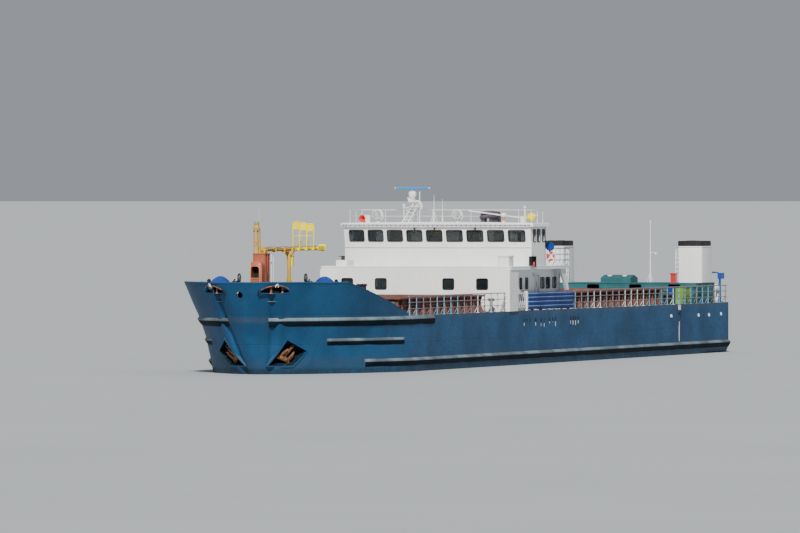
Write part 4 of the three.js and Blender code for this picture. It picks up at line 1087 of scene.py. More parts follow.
# Chain: oval links, each turned a quarter round from the last, from the windlass to the deck pipe.
def chainForm(start, end, pitch=0.2):
    start, end = np.asarray(start, float), np.asarray(end, float)
    count = int(np.linalg.norm(end - start) / pitch)
    spot = start + (end - start) * np.linspace(0, 1, count)[:, None]
    along = unit(end - start)
    side = unit(np.cross(along, (0, 0, 1)))
    oval = np.arange(10) * np.pi / 5
    forms = []
    for i, centre in enumerate(spot):
        wide = side if i % 2 else np.cross(along, side)
        path = centre + 0.15 * np.cos(oval)[:, None] * along + 0.08 * np.sin(oval)[:, None] * wide
        forms.append(alongPath(path, roundSection(0.026, 5), up=np.cross(along, wide), closed=True))
    return joined(*forms)


chain = joined(chainForm([35.05, 2.22, 5.22], [36.3, 2.2, 4.3]),
               lathe([[0.22, 0], [0.2, 0.1], [0.13, 0.14], [0.13, 0.02]], (36.35, 2.2, foredeckZ),
                     sides=18))
for side, name in shipSides:
    putPiece("windlass_" + name + "_gear", onSide(joined(windlassForm(), painted(chain, 1)), side),
             [panelPaint, blackAndShadePaint],
             nodes=["windlass_" + name], smooth=35)
print("foredeck gear done")

ventSizes = {"back": 36.2, "front": 37.05, "lip": 37.6, "starboard": -0.42, "port": 0.26,
             "foot": foredeckZ, "top": 6.8,
             "mouth": (-0.37, 0.09, 5.42, 6.02), "hoodTop": 6.36}


# The ventilator: a plated box, a hood that rounds over to port, and a beaded frame at its mouth.
def ventForm():
    v = ventSizes
    back, front, lip, left, right = v["back"], v["front"], v["lip"], v["starboard"], v["port"]
    low, high, sill, head = v["mouth"]
    body = slab(softOutline(back, front, left, right, 0.05, 3), 2, v["foot"], v["top"])
    turn = np.linspace(0, np.pi / 2, 7)
    arch = np.concatenate([[[left, v["foot"]]], [[left, v["hoodTop"] - 0.1]], [[left + 0.1, v["hoodTop"]]],
                           np.stack([right - 0.3 + 0.3 * np.sin(turn),
                                     v["hoodTop"] - 0.3 + 0.3 * np.cos(turn)], -1),
                           [[right, v["foot"]]]])
    inner = np.concatenate([[[low, sill]], [[low, head - 0.06]], [[low + 0.06, head + 0.04]],
                            np.stack([high - 0.14 + 0.14 * np.sin(turn), head - 0.1 + 0.14 * np.cos(turn)],
                                     -1),
                            [[high, sill]]])

    def ring(outline, x):
        return np.stack([np.full(len(outline), x) - 0.12 * (outline[:, 1] > 6.2), outline[:, 0],
                         outline[:, 1]], -1)

    hood = gridForm(np.stack([ring(arch, front - 0.02), ring(arch, lip), ring(inner, lip),
                              ring(inner, front + 0.08)]), wrapColumns=True)
    # The back of the mouth is closed by a black plate, a painted shade for the inside of the hood.
    floor = (ring(inner, front + 0.08), [(np.arange(len(inner))[None, :], 2)])
    beads = [alongPath(np.array([[lip, y, 4.16], [lip, y, 5.8], [lip - 0.02, y - 0.02, 6.02],
                                 [lip - 0.05, y - 0.1, 6.2]]),
                       softSection(0.05, 0.05, 0.015), up=(0, 1, 0)) for y in (0.14, 0.225)]
    beads.append(alongPath(np.array([[lip, left + 0.02, 4.16], [lip, left + 0.02, 6.2]]),
                           softSection(0.05, 0.05, 0.015), up=(0, 1, 0)))
    beads.append(beams([lip, low, sill - 0.02], [lip, high, sill - 0.02], softSection(0.05, 0.04, 0.01)))
    ribs = blocks(*[((x - 0.02, x + 0.02), (side, side + 0.03 * np.sign(side)), (4.2, 6.74))
                    for x in (36.25, 36.62, 37.0) for side in (left, right)],
                  ((back - 0.03, front + 0.02), (left - 0.03, right + 0.03), (6.74, 6.8)))
    door = slab(softOutline(36.3, 36.92, 4.4, 5.7, 0.1), 1, right, right + 0.03)
    recess = blocks([(lip - 0.01, lip + 0.01), (left + 0.06, 0.1), (4.3, 5.32)])
    pipes = joined(rods([[35.98, 0.3, foredeckZ]], [[35.98, 0.3, 6.75]], 0.035, 10),
                   rods([[35.98, 0.42, foredeckZ]], [[35.98, 0.42, 6.6]], 0.03, 10),
                   blocks([(35.98, 36.2), (0.2, 0.34), (6.3, 6.34)],
                          [(35.98, 36.2), (0.2, 0.34), (5.0, 5.04)]))
    return joined(painted(joined(body, hood, door, ribs), 0), floor, painted(joined(*beads), 1),
                  painted(recess, 3), painted(pipes, 4))


putPiece("vent_house_plates", ventForm(), [ventPaint, ventEdge, blackAndShadePaint, ventPanel, whiteGear],
         nodes=["vent_house"])


# The lamp tower that the mast hinges in: three legs with braces, a platform, and a lantern under a dome.
towerSizes = {"x": 37.0, "y": -0.24, "base": 6.803, "platform": 8.1}


def towerForm():
    s = towerSizes
    x, y, base, high = s["x"], s["y"], s["base"], s["platform"]
    legs = joined(rods([[x + 0.01, y - 0.15, base], [x - 0.04, y + 0.05, base]],
                       [[x + 0.01, y - 0.14, high], [x - 0.02, y + 0.04, high]], 0.042, 10),
                  rods([x, y + 0.19, base], [x, y + 0.17, high], 0.058, 10))
    braces = rods([[x, y - 0.15, 7.5], [x, y + 0.18, 7.5], [x, y - 0.15, 7.45]],
                  [[x, y + 0.18, 7.15], [x, y - 0.15, 7.15], [x, y + 0.18, 7.45]], 0.03, 6)
    lugs = [blocks([(36.4, 37.05), (-0.41, 0.26), (base, base + 0.04)])]
    for low in (-0.24, 0.15):
        lugs.append(slab([[36.5, base + 0.04], [36.95, base + 0.04], [36.86, 7.06], [36.78, 7.14],
                          [36.66, 7.14], [36.58, 7.06]], 1, low, low + 0.09))
    pin = rods([36.72, -0.28, 7], [36.72, 0.28, 7], 0.045, 14)
    plate = slab(softOutline(x - 0.14, x + 0.16, y - 0.2, y + 0.2, 0.06), 2, high, high + 0.05)
    dome = lathe([[0.17, 0.05], [0.185, 0.1], [0.18, 0.17], [0.13, 0.26], [0.11, 0.3], [0.13, 0.32],
                  [0.135, 0.5], [0.1, 0.53]],
                 (x, y, high), sides=20)
    knob = lathe([[0.14, 0.3], [0.145, 0.34], [0.14, 0.48], [0.09, 0.52]], (x, y, high), sides=20)
    aerial = rods([x - 0.1, y + 0.1, high], [x - 0.1, y + 0.1, 9.3], 0.014, 6, 0.5)
    return joined(painted(joined(legs, braces, *lugs, pin, plate, dome), 0), painted(knob, 1),
                  painted(aerial, 2))


putPiece("fore_tower_frame", towerForm(), [ochrePaint, greyPaint, whiteGear],
         nodes=["fore_tower"], smooth=40)

mastSizes = {"x": 36.72, "z": 7.0, "joint": 31.0, "tip": 25.7, "radius": 0.1, "tipRadius": 0.085,
             "hoops": [(30.6, 8.58), (29.3, 8.52), (28.0, 8.46)]}


# The lowered mast: eye and pipe with collars, and hoops of bent tube with a plate across each top.
def mastForm():
    m = mastSizes
    x, z = m["x"], m["z"]
    eye = hollowRing([[0.075, -0.13], [0.15, -0.13], [0.15, 0.13], [0.075, 0.13]], (x, 0, z), (0, 1, 0), 20)
    heelPipe = rods([x - 0.12, 0, z], [m["joint"], 0, z], m["radius"], 14)
    collars = joined(*[lathe([[m["radius"], -0.06], [m["radius"] + 0.05, -0.04],
                              [m["radius"] + 0.05, 0.04], [m["radius"], 0.06]], (cx, 0, z), (1, 0, 0), 16)
                       for cx in (36.2, 34.6, 33.0, 31.05)])
    headPipe = rods([m["joint"] + 0.1, 0, z], [m["tip"], 0, z], m["tipRadius"], 14)
    forms = []
    for hoopX, top in m["hoops"]:
        path = np.array([[hoopX, -0.2, z - 0.02], [hoopX, -0.2, top - 0.18], [hoopX, -0.17, top - 0.07],
                         [hoopX, -0.1, top - 0.03],
                         [hoopX, 0.1, top - 0.03], [hoopX, 0.17, top - 0.07], [hoopX, 0.2, top - 0.18],
                         [hoopX, 0.2, z - 0.02]])
        forms.append(alongPath(path, roundSection(0.035, 8), up=(1, 0, 0)))
        forms.append(slab(softOutline(-0.2, 0.2, top - 0.44, top - 0.02, 0.07), 0, hoopX - 0.015,
                          hoopX + 0.015))
        forms.append(blocks([(hoopX - 0.07, hoopX + 0.07), (-0.24, 0.24), (z - 0.05, z + 0.09)]))
        forms.append(rods([hoopX, -0.2, z + 0.75], [hoopX, 0.2, z + 0.75], 0.022, 8))
        forms.append(rods([[hoopX, -0.2, z + 0.5], [hoopX, 0.2, z + 0.5]],
                          [[hoopX - 0.55, -0.03, z + 0.06], [hoopX - 0.55, 0.03, z + 0.06]], 0.02, 6))
    forms.append(slab(softOutline(-0.22, 0.22, z - 0.12, z + 0.26, 0.06), 0, m["tip"] + 0.02,
                      m["tip"] + 0.14))
    forms.append(blocks([(m["tip"] + 0.1, m["tip"] + 1.35), (-0.17, -0.13), (z - 0.06, z + 0.16)],
                        [(m["tip"] + 0.1, m["tip"] + 1.35), (0.13, 0.17), (z - 0.06, z + 0.16)],
                        [(m["tip"] + 0.5, m["tip"] + 0.9), (-0.13, 0.13), (z + 0.02, z + 0.14)]))
    lemonParts = joined(headPipe, *forms)
    wires = []
    for y in (-0.11, 0.12):
        xs = np.linspace(36.3, 26.4, 30)
        wires.append(pipe(np.stack([xs, y + 0.02 * np.sin(xs * 2), z + 0.13 + 0.03 * np.sin(xs * 3.1)],
                                   -1), 0.014, 5))
    sheaves = joined(*[lathe([[0.02, -0.05], [0.08, -0.04], [0.08, 0.04], [0.02, 0.05]],
                             (bx, 0.0, z + 0.17), (0, 1, 0), 14) for bx in (30.1, 28.8, 27.4)])
    return joined(painted(joined(eye, heelPipe, collars), 0), painted(lemonParts, 1),
                  painted(joined(*wires, sheaves), 2))


putPiece("fore_mast_pipe", mastForm(), [ochrePaint, lemonPaint, steelBare],
         nodes=["fore_mast"], body="fore_mast_body", smooth=40)


# The crutch that holds the lowered mast: a round post with a forked head, stays and a box.
def crutchForm():
    x, top = 31.9, mastSizes["z"] - 0.113
    post = lathe([[0.2, foredeckZ], [0.2, 4.2], [0.11, 4.24], [0.105, 6.5], [0.105, top - 0.1]], (x, 0, 0),
                 sides=16)
    head = slab([[-0.27, top + 0.2], [-0.27, top - 0.1], [-0.12, top - 0.24], [0.12, top - 0.24],
                 [0.27, top - 0.1], [0.27, top + 0.2],
                 [0.17, top + 0.2], [0.15, top - 0.01], [-0.15, top - 0.01], [-0.17, top + 0.2]], 0,
                x - 0.1, x + 0.1)
    stays = rods([[x - 0.6, 0, foredeckZ], [x, -0.5, foredeckZ], [x, 0.5, foredeckZ]],
                 [[x, 0, 5.6], [x, 0, 5.6], [x, 0, 5.6]], 0.04, 8)
    box = blocks([(x - 0.36, x - 0.1), (-0.17, 0.17), (6.02, 6.62)],
                 [(x - 0.4, x - 0.08), (-0.2, 0.2), (6.6, 6.64)])
    return joined(painted(joined(post, head, stays), 0), painted(box, 1))


putPiece("mast_crutch_post", crutchForm(), [ochrePaint, lemonPaint], nodes=["mast_crutch"],
         bevel=0.008, smooth=40)


# A small hatch: a coaming, a lid with round corners, and four dogs.
def hatchForm(x, y, z, long=0.8, wide=0.8):
    lid = slab(softOutline(x - long / 2, x + long / 2, y - wide / 2, y + wide / 2, 0.12), 2, z + 0.24,
               z + 0.3)
    coam = slab(softOutline(x - long / 2 + 0.04, x + long / 2 - 0.04, y - wide / 2 + 0.04,
                            y + wide / 2 - 0.04, 0.1), 2, z, z + 0.25)
    dogs = blocks(*[((x + dx - 0.03, x + dx + 0.03), (y + dy - 0.05, y + dy + 0.05), (z + 0.18, z + 0.34))
                    for dx in (-long / 2, long / 2) for dy in (-0.2, 0.2)])
    return joined(lid, coam, dogs)


# A ventilator with a round cap on a stem.
def mushroomVent(x, y, z, high=0.7, radius=0.14):
    return lathe([[radius * 0.9, z], [radius * 0.6, z + 0.04], [radius * 0.6, z + high - 0.18],
                  [radius * 1.5, z + high - 0.16],
                  [radius * 1.55, z + high - 0.08], [radius * 1.1, z + high - 0.01], [0.02, z + high]],
                 (x, y, 0), sides=18)


deckBits = [hatchForm(33.0, 2.4, foredeckZ), hatchForm(33.0, -2.4, foredeckZ),
            hatchForm(38.3, 0, foredeckZ, 0.7, 0.7), hatchForm(29.5, 3.4, deckZ),
            hatchForm(29.5, -3.4, deckZ),
            bothSides(mushroomVent(38.2, 1.3, foredeckZ)), bothSides(mushroomVent(28.3, 5.0, deckZ, 0.8)),
            bothSides(mushroomVent(-34.0, 3.6, deckZ, 0.9)),
            bothSides(mushroomVent(8.9, 5.0, deckZ, 0.8)), bothSides(mushroomVent(-5.5, 5.0, deckZ, 0.8)),
            hatchForm(-31.2, 0, deckZ, 1.2, 1.2),
            blocks([(34.3, 35.5), (-0.7, 0.7), (foredeckZ, 4.75)],
                   [(34.25, 35.55), (-0.75, 0.75), (4.75, 4.8)])]
putPiece("deck_hatches_vents", joined(*deckBits), [deckPaint], bevel=0.01, smooth=40)
print("mast and vents done")

railSizes = {"y": 5.72, "high": 1.12, "pitch": 1.4, "bars": (0.36, 0.68, 1.0), "seed": 7}
rng = np.random.default_rng(railSizes["seed"])


# Rails along a straight run: flat posts with a foot and a knee, and three round bars through them.
def railForm(start, end, foot, inward, high=None, pitch=None, posts=(0, 0, 1, 2), wide=0.11):
    high, pitch = high or railSizes["high"], pitch or railSizes["pitch"]
    start, end, inward = np.asarray(start, float), np.asarray(end, float), np.asarray(inward, float)
    count = max(int(round(np.linalg.norm(end - start) / pitch)), 1)
    spots = start + (end - start) * np.linspace(0.01, 0.99, count + 1)[:, None]
    along = unit(end - start)
    forms = []
    tones = rng.choice(posts, len(spots))
    for tone in sorted(set(tones)):
        chosen = spots[tones == tone]
        post = joined(beams([0, 0, foot], [0, 0, foot + high], flatSection(wide, 0.03), up=inward),
                      beams([0, 0, foot + 0.4], inward * 0.22 + [0, 0, foot], flatSection(0.03, 0.05),
                            up=along),
                      beams([0, 0, foot], [0, 0, foot + 0.02], flatSection(0.2, 0.2), up=inward))
        offsets = np.stack([chosen[:, 0], chosen[:, 1], np.zeros(len(chosen))], -1)
        forms.append(painted(copies(post, offsets), int(tone)))
    for i, share in enumerate(railSizes["bars"]):
        z = foot + high * share - 0.02
        radius = 0.032 if share == 1.0 else 0.022
        forms.append(painted(rods([[start[0], start[1], z]], [[end[0], end[1], z]], radius, 8), 2))
    return joined(*forms)


railSets = [("rail_fore", 8.4, 27.45), ("rail_aft", -40.95, -5.95)]
for side, name in shipSides:
    for key, low, high in railSets:
        form = railForm([low, side * railSizes["y"], 0], [high, side * railSizes["y"], 0], deckZ,
                        [0, -side, 0])
        putPiece(key + "_" + name + "_posts", form, railPaints, nodes=[key + "_" + name],
                 smooth=40)
putPiece("rail_stern_posts",
         railForm([-41.45, -5.1, 0], [-41.45, 5.1, 0], deckZ, [1, 0, 0], posts=(0, 0, 1)), railPaints,
         nodes=["rail_stern"], smooth=40)

panelSizes = {"back": -5.74, "front": 3.86, "foot": 3.27, "top": 4.28, "ribs": [3.42, 3.68, 3.94, 4.17]}


# The ribbed side panel on its brackets, with a white dash of scuppers below it.
def panelForm():
    p = panelSizes
    back, front = p["back"], p["front"]
    plate = slab(softOutline(back, front, p["foot"], p["top"], 0.05, 3), 1, 5.7, 5.76)
    ribs, edges = [], []
    for z in p["ribs"]:
        section = np.array([[5.74, z - 0.055], [5.8, z - 0.045], [5.83, z], [5.8, z + 0.045],
                            [5.74, z + 0.055]])
        ribs.append(slab(section, 0, back + 0.06, front - 0.06))
        # A pale strip on the upper face of each rib is a painted highlight, where the sun falls on the
        # ribs.
        edges.append(blocks([(back + 0.06, front - 0.06), (5.765, 5.815), (z + 0.04, z + 0.068)]))
    xs = np.arange(back + 0.3, front, 1.35)
    feet = copies(blocks([(-0.06, 0.06), (5.6, 5.74), (deckZ, 4.2)]), alongShip(xs))
    starts = np.arange(back + 0.1, front - 0.8, 1.45)
    dashes = copies(blocks([(0, 0.75), (5.765, 5.79), (3.205, 3.25)]), alongShip(starts))
    return joined(painted(joined(plate, *ribs, feet), 0), painted(joined(*edges), 1), painted(dashes, 2))


# Two posts before the panel, and the lattice of the gangway stowed on edge between them.
def gangwayForm():
    posts = blocks([(4.08, 4.24), (5.64, 5.84), (deckZ, 4.36)], [(6.05, 6.19), (5.66, 5.82), (deckZ, 4.36)])
    bars = blocks([(3.8, 6.1), (5.7, 5.76), (3.38, 3.46)], [(3.8, 6.1), (5.7, 5.76), (4.2, 4.28)])
    starts = np.linspace(4.3, 5.6, 4)
    slats = [beams([x, 5.76, low], [x + 0.42, 5.76, high], flatSection(0.07, 0.03), up=(0, 1, 0))
             for x in starts for low, high in ((3.46, 4.2), (4.2, 3.46))]
    return joined(posts, bars, *slats)


for side, name in shipSides:
    form = joined(panelForm(), painted(gangwayForm(), 2))
    putPiece("side_panel_" + name + "_ribs", onSide(form, side), [panelPaint, panelRibHighlight, whiteGear],
             nodes=["side_panel_" + name], bevel=0.008)
print("rails and side panels done")


# Superstructure. Each wall is a row of upright strips: plain ones, and ones with a window or a doorway.
# A window is (left, right, low, high, corner radius); a doorway has the radius None and is left open.
def wallOf(span, height, holes, place, outward, margin=0.05):
    forms, at = [], span[0]
    for left, right, low, high, radius in sorted(holes):
        grow = margin if radius else 0
        edges = [left - grow, right + grow]
        if edges[0] > at + 1e-6:
            forms.append(openWall([at, edges[0]], height, {}, place, outward))
        levels = [height[0], low - grow, high + grow, height[-1]]
        forms.append(openWall(edges, levels, {(0, 1): radius}, place, outward, margin))
        at = edges[1]
    forms.append(openWall([at, span[1]], height, {}, place, outward))
    return joined(*forms)


# A rubber gasket round a rounded window, and its pane, set a little behind the wall's face.
def windowFit(left, right, low, high, radius, place, outward):
    ring = place(softOutline(left, right, low, high, radius))
    outward = unit(outward)
    gasket = alongPath(ring + outward * 0.012, softSection(0.05, 0.035, 0.012), up=outward, closed=True)
    outer = place(softOutline(left - 0.01, right + 0.01, low - 0.01, high + 0.01, radius))
    pane = gridForm(np.stack([outer - outward * 0.05, outer - outward * 0.035]), wrapColumns=True,
                    capEnds=True)
    return gasket, pane


# Gasket and pane for each window of a wall; a doorway has none.
def windowFits(holes, place, outward):
    return [windowFit(*hole, place, outward) for hole in holes if hole[-1]]


houseSizes = {"front": 8.1, "back": -4.5, "half": 5.25, "frontHalf": 5.9, "wall": 0.12, "foot": deckZ,
              "top": 5.66,
              "windowLow": 4.49, "windowHigh": 5.14, "radius": 0.1}
portholes = [[3.44, 3.91], [2.18, 2.74], [-1.25, -0.42], [-2.44, -1.57], [-3.72, -2.98]]
frontPorts = [-4.2, -2.1, 2.1, 4.2]
houseDoor = {"from": -0.1, "to": 0.7, "sill": 3.4, "head": 5.3}


def houseWalls():
    s = houseSizes
    low, high, radius = s["windowLow"], s["windowHigh"], s["radius"]
    walls = {}
    frontHoles = [(y - 0.35, y + 0.35, low, high, radius) for y in frontPorts]
    sideHoles = [(left, right, low, high, radius) for left, right in portholes]
    sideHoles.append((houseDoor["from"], houseDoor["to"], houseDoor["sill"], houseDoor["head"], None))
    backHoles = [(y - 0.35, y + 0.35, low, high, radius) for y in (-3.2, 3.2)]
    atFront, atBack = atX(s["front"]), atX(s["back"])
    walls["house_front"] = wallOf((-s["frontHalf"], s["frontHalf"]), (s["foot"], s["top"]), frontHoles,
                                  atFront, (1, 0, 0))
    walls["house_back"] = wallOf((-s["half"], s["half"]), (s["foot"], s["top"]), backHoles, atBack,
                                 (-1, 0, 0))
    fits = windowFits(frontHoles, atFront, (1, 0, 0)) + windowFits(backHoles, atBack, (-1, 0, 0))
    for side, name in shipSides:
        atSide = atY(side * s["half"])
        walls["house_side_" + name] = wallOf((s["back"], s["front"] - 0.12), (s["foot"], s["top"]),
                                             sideHoles, atSide, (0, side, 0))
        fits += windowFits(sideHoles, atSide, (0, side, 0))
    return walls, *[joined(*forms) for forms in zip(*fits)]


houseParts, houseSeals, housePanes = houseWalls()
for name, form in houseParts.items():
    putPiece(name + "_plating", form, [whitePaint], nodes=[name], closed=False,
             thick=houseSizes["wall"])
putPiece("house_window_seals", houseSeals, [rubberPaint])
putPiece("house_window_panes", housePanes, [darkGlass])


# Fittings on the house sides: fairing plate, after post, door frame, handrails, step, lamp and pipes.
def houseTrim():
    s = houseSizes
    turn = np.linspace(0, np.pi / 2, 8)
    upper = np.stack([6.3 - 0.5 * (1 - np.sin(turn)), 5.2 + 0.42 * np.cos(turn)], -1)
    lower = np.stack([6.3 - 0.9 * (1 - np.cos(turn)), 4.85 - 0.55 * np.sin(turn)], -1)
    outline = np.concatenate([[[7.97, deckZ], [7.97, 5.66], [5.2, 5.66], [5.2, 5.62]], upper, lower,
                              [[5.2, 4.3], [5.2, 4.22], [6.3, 4.22], [6.3, deckZ]]])
    parts = [slab(outline, 1, 5.8, 5.9)]
    door = houseDoor
    frame = np.array([[door["from"] - 0.03, door["sill"] - 0.03], [door["to"] + 0.03, door["sill"] - 0.03],
                      [door["to"] + 0.03, door["head"] + 0.03], [door["from"] - 0.03, door["head"] + 0.03]])
    ring = atY(s["half"] + 0.02)(frame)
    parts.append(alongPath(ring, flatSection(0.06, 0.05), up=(0, 1, 0), closed=True))
    parts.append(blocks([(door["from"] - 0.05, door["to"] + 0.05), (5.25, 5.5), (deckZ, 3.38)]))
    for left, right in ((1.1, 3.9), (-4.0, -0.7)):
        parts.append(pipe([[left, 5.35, 4.15], [left, 5.4, 4.25], [right, 5.4, 4.25], [right, 5.35, 4.15]],
                          0.02, 6))
    parts.append(pipe([[4.4, 5.32, deckZ], [4.4, 5.32, 5.5], [4.6, 5.32, 5.6]], 0.045, 8))
    parts.append(pipe([[-4.3, 5.32, deckZ], [-4.3, 5.32, 5.6]], 0.045, 8))
    parts.append(lathe([[0.1, 0], [0.11, 0.05], [0.07, 0.12], [0.02, 0.13]], (1.0, 5.27, 5.3), (0, 1, 0),
                       16))
    parts.append(slab([[-3.8, 5.7], [-2.6, 5.7], [-4.0, 4.36], [-4.55, 4.36]], 1, 5.72, 5.84))
    parts.append(beams([-2.64, 5.86, 5.64], [-4.02, 5.86, 4.38], flatSection(0.05, 0.05), up=(0, 1, 0)))
    lamp = joined(blocks([(6.0, 6.16), (5.3, 5.5), (5.3, 5.62)]),
                  lathe([[0.06, 5.1], [0.09, 5.14], [0.09, 5.26], [0.04, 5.3]], (6.08, 5.4, 0), sides=12))
    return joined(painted(bothSides(joined(*parts)), 0), painted(bothSides(lamp), 1))


putPiece("house_trim", houseTrim(), [whiteGear, steelBare], bevel=0.01, smooth=40)

boatDeckSizes = {"back": -4.6, "front": 8.1, "half": 5.95, "low": 5.66, "top": boatDeckZ}


# The boat deck: a plate with round corners and a lip, and two lockers on it.
def boatDeckForm():
    b = boatDeckSizes
    slabForm = slab(softOutline(b["back"], b["front"], -b["half"], b["half"], 0.28, 8), 2, b["low"],
                    b["top"])
    edge = softOutline(b["back"] + 0.02, b["front"] - 0.02, -b["half"] + 0.02, b["half"] - 0.02, 0.26, 8)
    lip = alongPath(atHeight(edge, b["top"]), softSection(0.06, 0.09, 0.02), closed=True)
    locker = slab(softOutline(6.6, 7.6, 5.02, 5.7, 0.06), 2, boatDeckZ, 6.44)
    lid = slab(softOutline(6.55, 7.65, 4.97, 5.75, 0.08), 2, 6.44, 6.5)
    latches = blocks([(6.8, 6.88), (5.7, 5.73), (6.3, 6.46)], [(7.3, 7.38), (5.7, 5.73), (6.3, 6.46)])
    lowLocker = slab(softOutline(4.6, 6.0, -5.6, -4.9, 0.05), 2, boatDeckZ, 6.2)
    return joined(slabForm, lip, locker, lid, latches, lowLocker)


putPiece("boat_deck_plate", boatDeckForm(), [whitePaint], nodes=["boat_deck"], smooth=40)
boatRails = []
for side in (1, -1):
    boatRails.append(railForm([-4.5, side * 5.86, 0], [-1.56, side * 5.86, 0], boatDeckZ, [0, -side, 0],
                              high=1.06, pitch=0.98, posts=(1, 1, 0), wide=0.06))
boatRails.append(railForm([-4.5, -5.86, 0], [-4.5, 5.86, 0], boatDeckZ, [1, 0, 0], high=1.06, pitch=1.3,
                          posts=(1, 1, 2), wide=0.06))
putPiece("boat_deck_rails", joined(*boatRails), railPaints, smooth=40)


# Lifebuoy: a ring with four lashings on its post, under a round blue cover.
def lifebuoyForm():
    x, y, z, ringRadius, tube = -1.1, 5.62, 6.42, 0.23, 0.07
    angle = np.arange(32) * np.pi / 16
    ring = np.stack([x + ringRadius * np.cos(angle), np.full(32, y + 0.12),
                     z + ringRadius * np.sin(angle)], -1)
    buoy = alongPath(ring, roundSection(tube, 12), up=(0, 1, 0), closed=True)
    bandForms = []
    for k in range(4):
        spot = ring[k * 8 + 4]
        spin = np.array([x, y + 0.12, z])
        tangent = unit(np.cross(spot - spin, (0, 1, 0)))
        bandForms.append(lathe([[tube + 0.001, -0.05], [tube + 0.012, -0.045], [tube + 0.012, 0.045],
                                [tube + 0.001, 0.05]], spot, tangent, 12))
    post = joined(blocks([(x - 0.035, x + 0.035), (y - 0.035, y + 0.035), (boatDeckZ, 7.0)]),
                  blocks([(x - 0.2, x + 0.2), (y - 0.02, y + 0.02), (6.74, 6.78)]))
    cover = lathe([[0.05, -0.02], [0.24, 0.0], [0.27, 0.06], [0.27, 0.2], [0.24, 0.24], [0.05, 0.26]],
                  (x, 5.56, 7.0), (0, 1, 0), 28)
    face = turned(joined(painted(buoy, 1), painted(joined(*bandForms), 0), painted(cover, 2)), -38,
                  (0, 0, 1), (x, y, 0))
    return joined(painted(post, 0), face)


putPiece("lifebuoy_stand", lifebuoyForm(), [whiteGear, redPaint, panelPaint],
         nodes=["lifebuoy_post"], smooth=45)


# A steel door leaf: plate with a raised rim, three hinge straps, a handle, and a round-cornered port.
def doorLeaf(width, low, high, thick=0.05):
    leaf = slab(softOutline(0.0, width, low, high, 0.08), 1, -thick / 2, thick / 2)
    rim = softOutline(0.05, width - 0.05, low + 0.05, high - 0.05, 0.07)
    path = atY(thick / 2 + 0.004)(rim)
    parts = [leaf, alongPath(path, softSection(0.03, 0.02, 0.006), up=(0, 1, 0), closed=True)]
    for z in (low + 0.3, (low + high) / 2, high - 0.3):
        parts.append(blocks([(0.045, 0.2), (thick / 2, thick / 2 + 0.025), (z - 0.03, z + 0.03)]))
    parts.append(pipe([[width - 0.12, thick / 2, low + 0.95], [width - 0.12, thick / 2 + 0.06, low + 0.95],
                       [width - 0.12, thick / 2 + 0.06, low + 1.15],
                       [width - 0.12, thick / 2, low + 1.15]], 0.012, 6))
    port = softOutline(width / 2 - 0.13, width / 2 + 0.13, high - 0.72, high - 0.36, 0.08)
    path = atY(thick / 2 + 0.006)(port)
    parts.append(alongPath(path, softSection(0.035, 0.02, 0.006), up=(0, 1, 0), closed=True))
    pane = slab(port, 1, -thick / 2 - 0.006, thick / 2 + 0.006)
    return joined(painted(joined(*parts), 0), painted(pane, 1))


doorSizes = {"width": 0.78, "hinge": (0.697, 5.19), "bridgeHinge": (0.52, 4.895),
             "bridgeHeights": (6.025, 7.875)}


def hangDoor(node, points, faces):
    putPiece(node + "_leaf", (points, faces), [whiteGear, darkGlass], nodes=[node],
             body=node + "_body")


for side, name in shipSides:
    points, faces = doorLeaf(doorSizes["width"], houseDoor["sill"] + 0.025, houseDoor["head"] - 0.025)
    x, y = doorSizes["hinge"]
    hangDoor("house_door_" + name, points * [-1, side, 1] + [x, side * y, 0], faces)
points, faces = doorLeaf(doorSizes["width"], *doorSizes["bridgeHeights"])
x, y = doorSizes["bridgeHinge"]
hangDoor("bridge_door", np.stack([x - points[:, 1], y - points[:, 0], points[:, 2]], -1), faces)
print("house done")

bridgeSizes = {"front": 4.02, "back": 0.47, "half": 5.85, "bow": 0.61, "wall": 0.12, "rakeFrom": 7.1,
               "rake": 0.27,
               "foot": boatDeckZ, "top": 8.21, "roof": 8.48, "overhang": 0.18, "pitch": 1.254,
               "pane": 0.99, "sill": 7.32, "head": 7.99, "sideEnd": 3.15}
bridgeSideHoles = [(0.7, 1.18), (1.65, 2.29), (2.6, 3.08)]


# The front bows aft towards the sides as the square of the breadth, and leans forward above the sills.
def bridgeFace(y, z):
    b = bridgeSizes
    lean = b["rake"] * np.maximum(z - b["rakeFrom"], 0) / (b["top"] - b["rakeFrom"])
    return b["front"] - b["bow"] * (y / b["half"]) ** 2 + lean


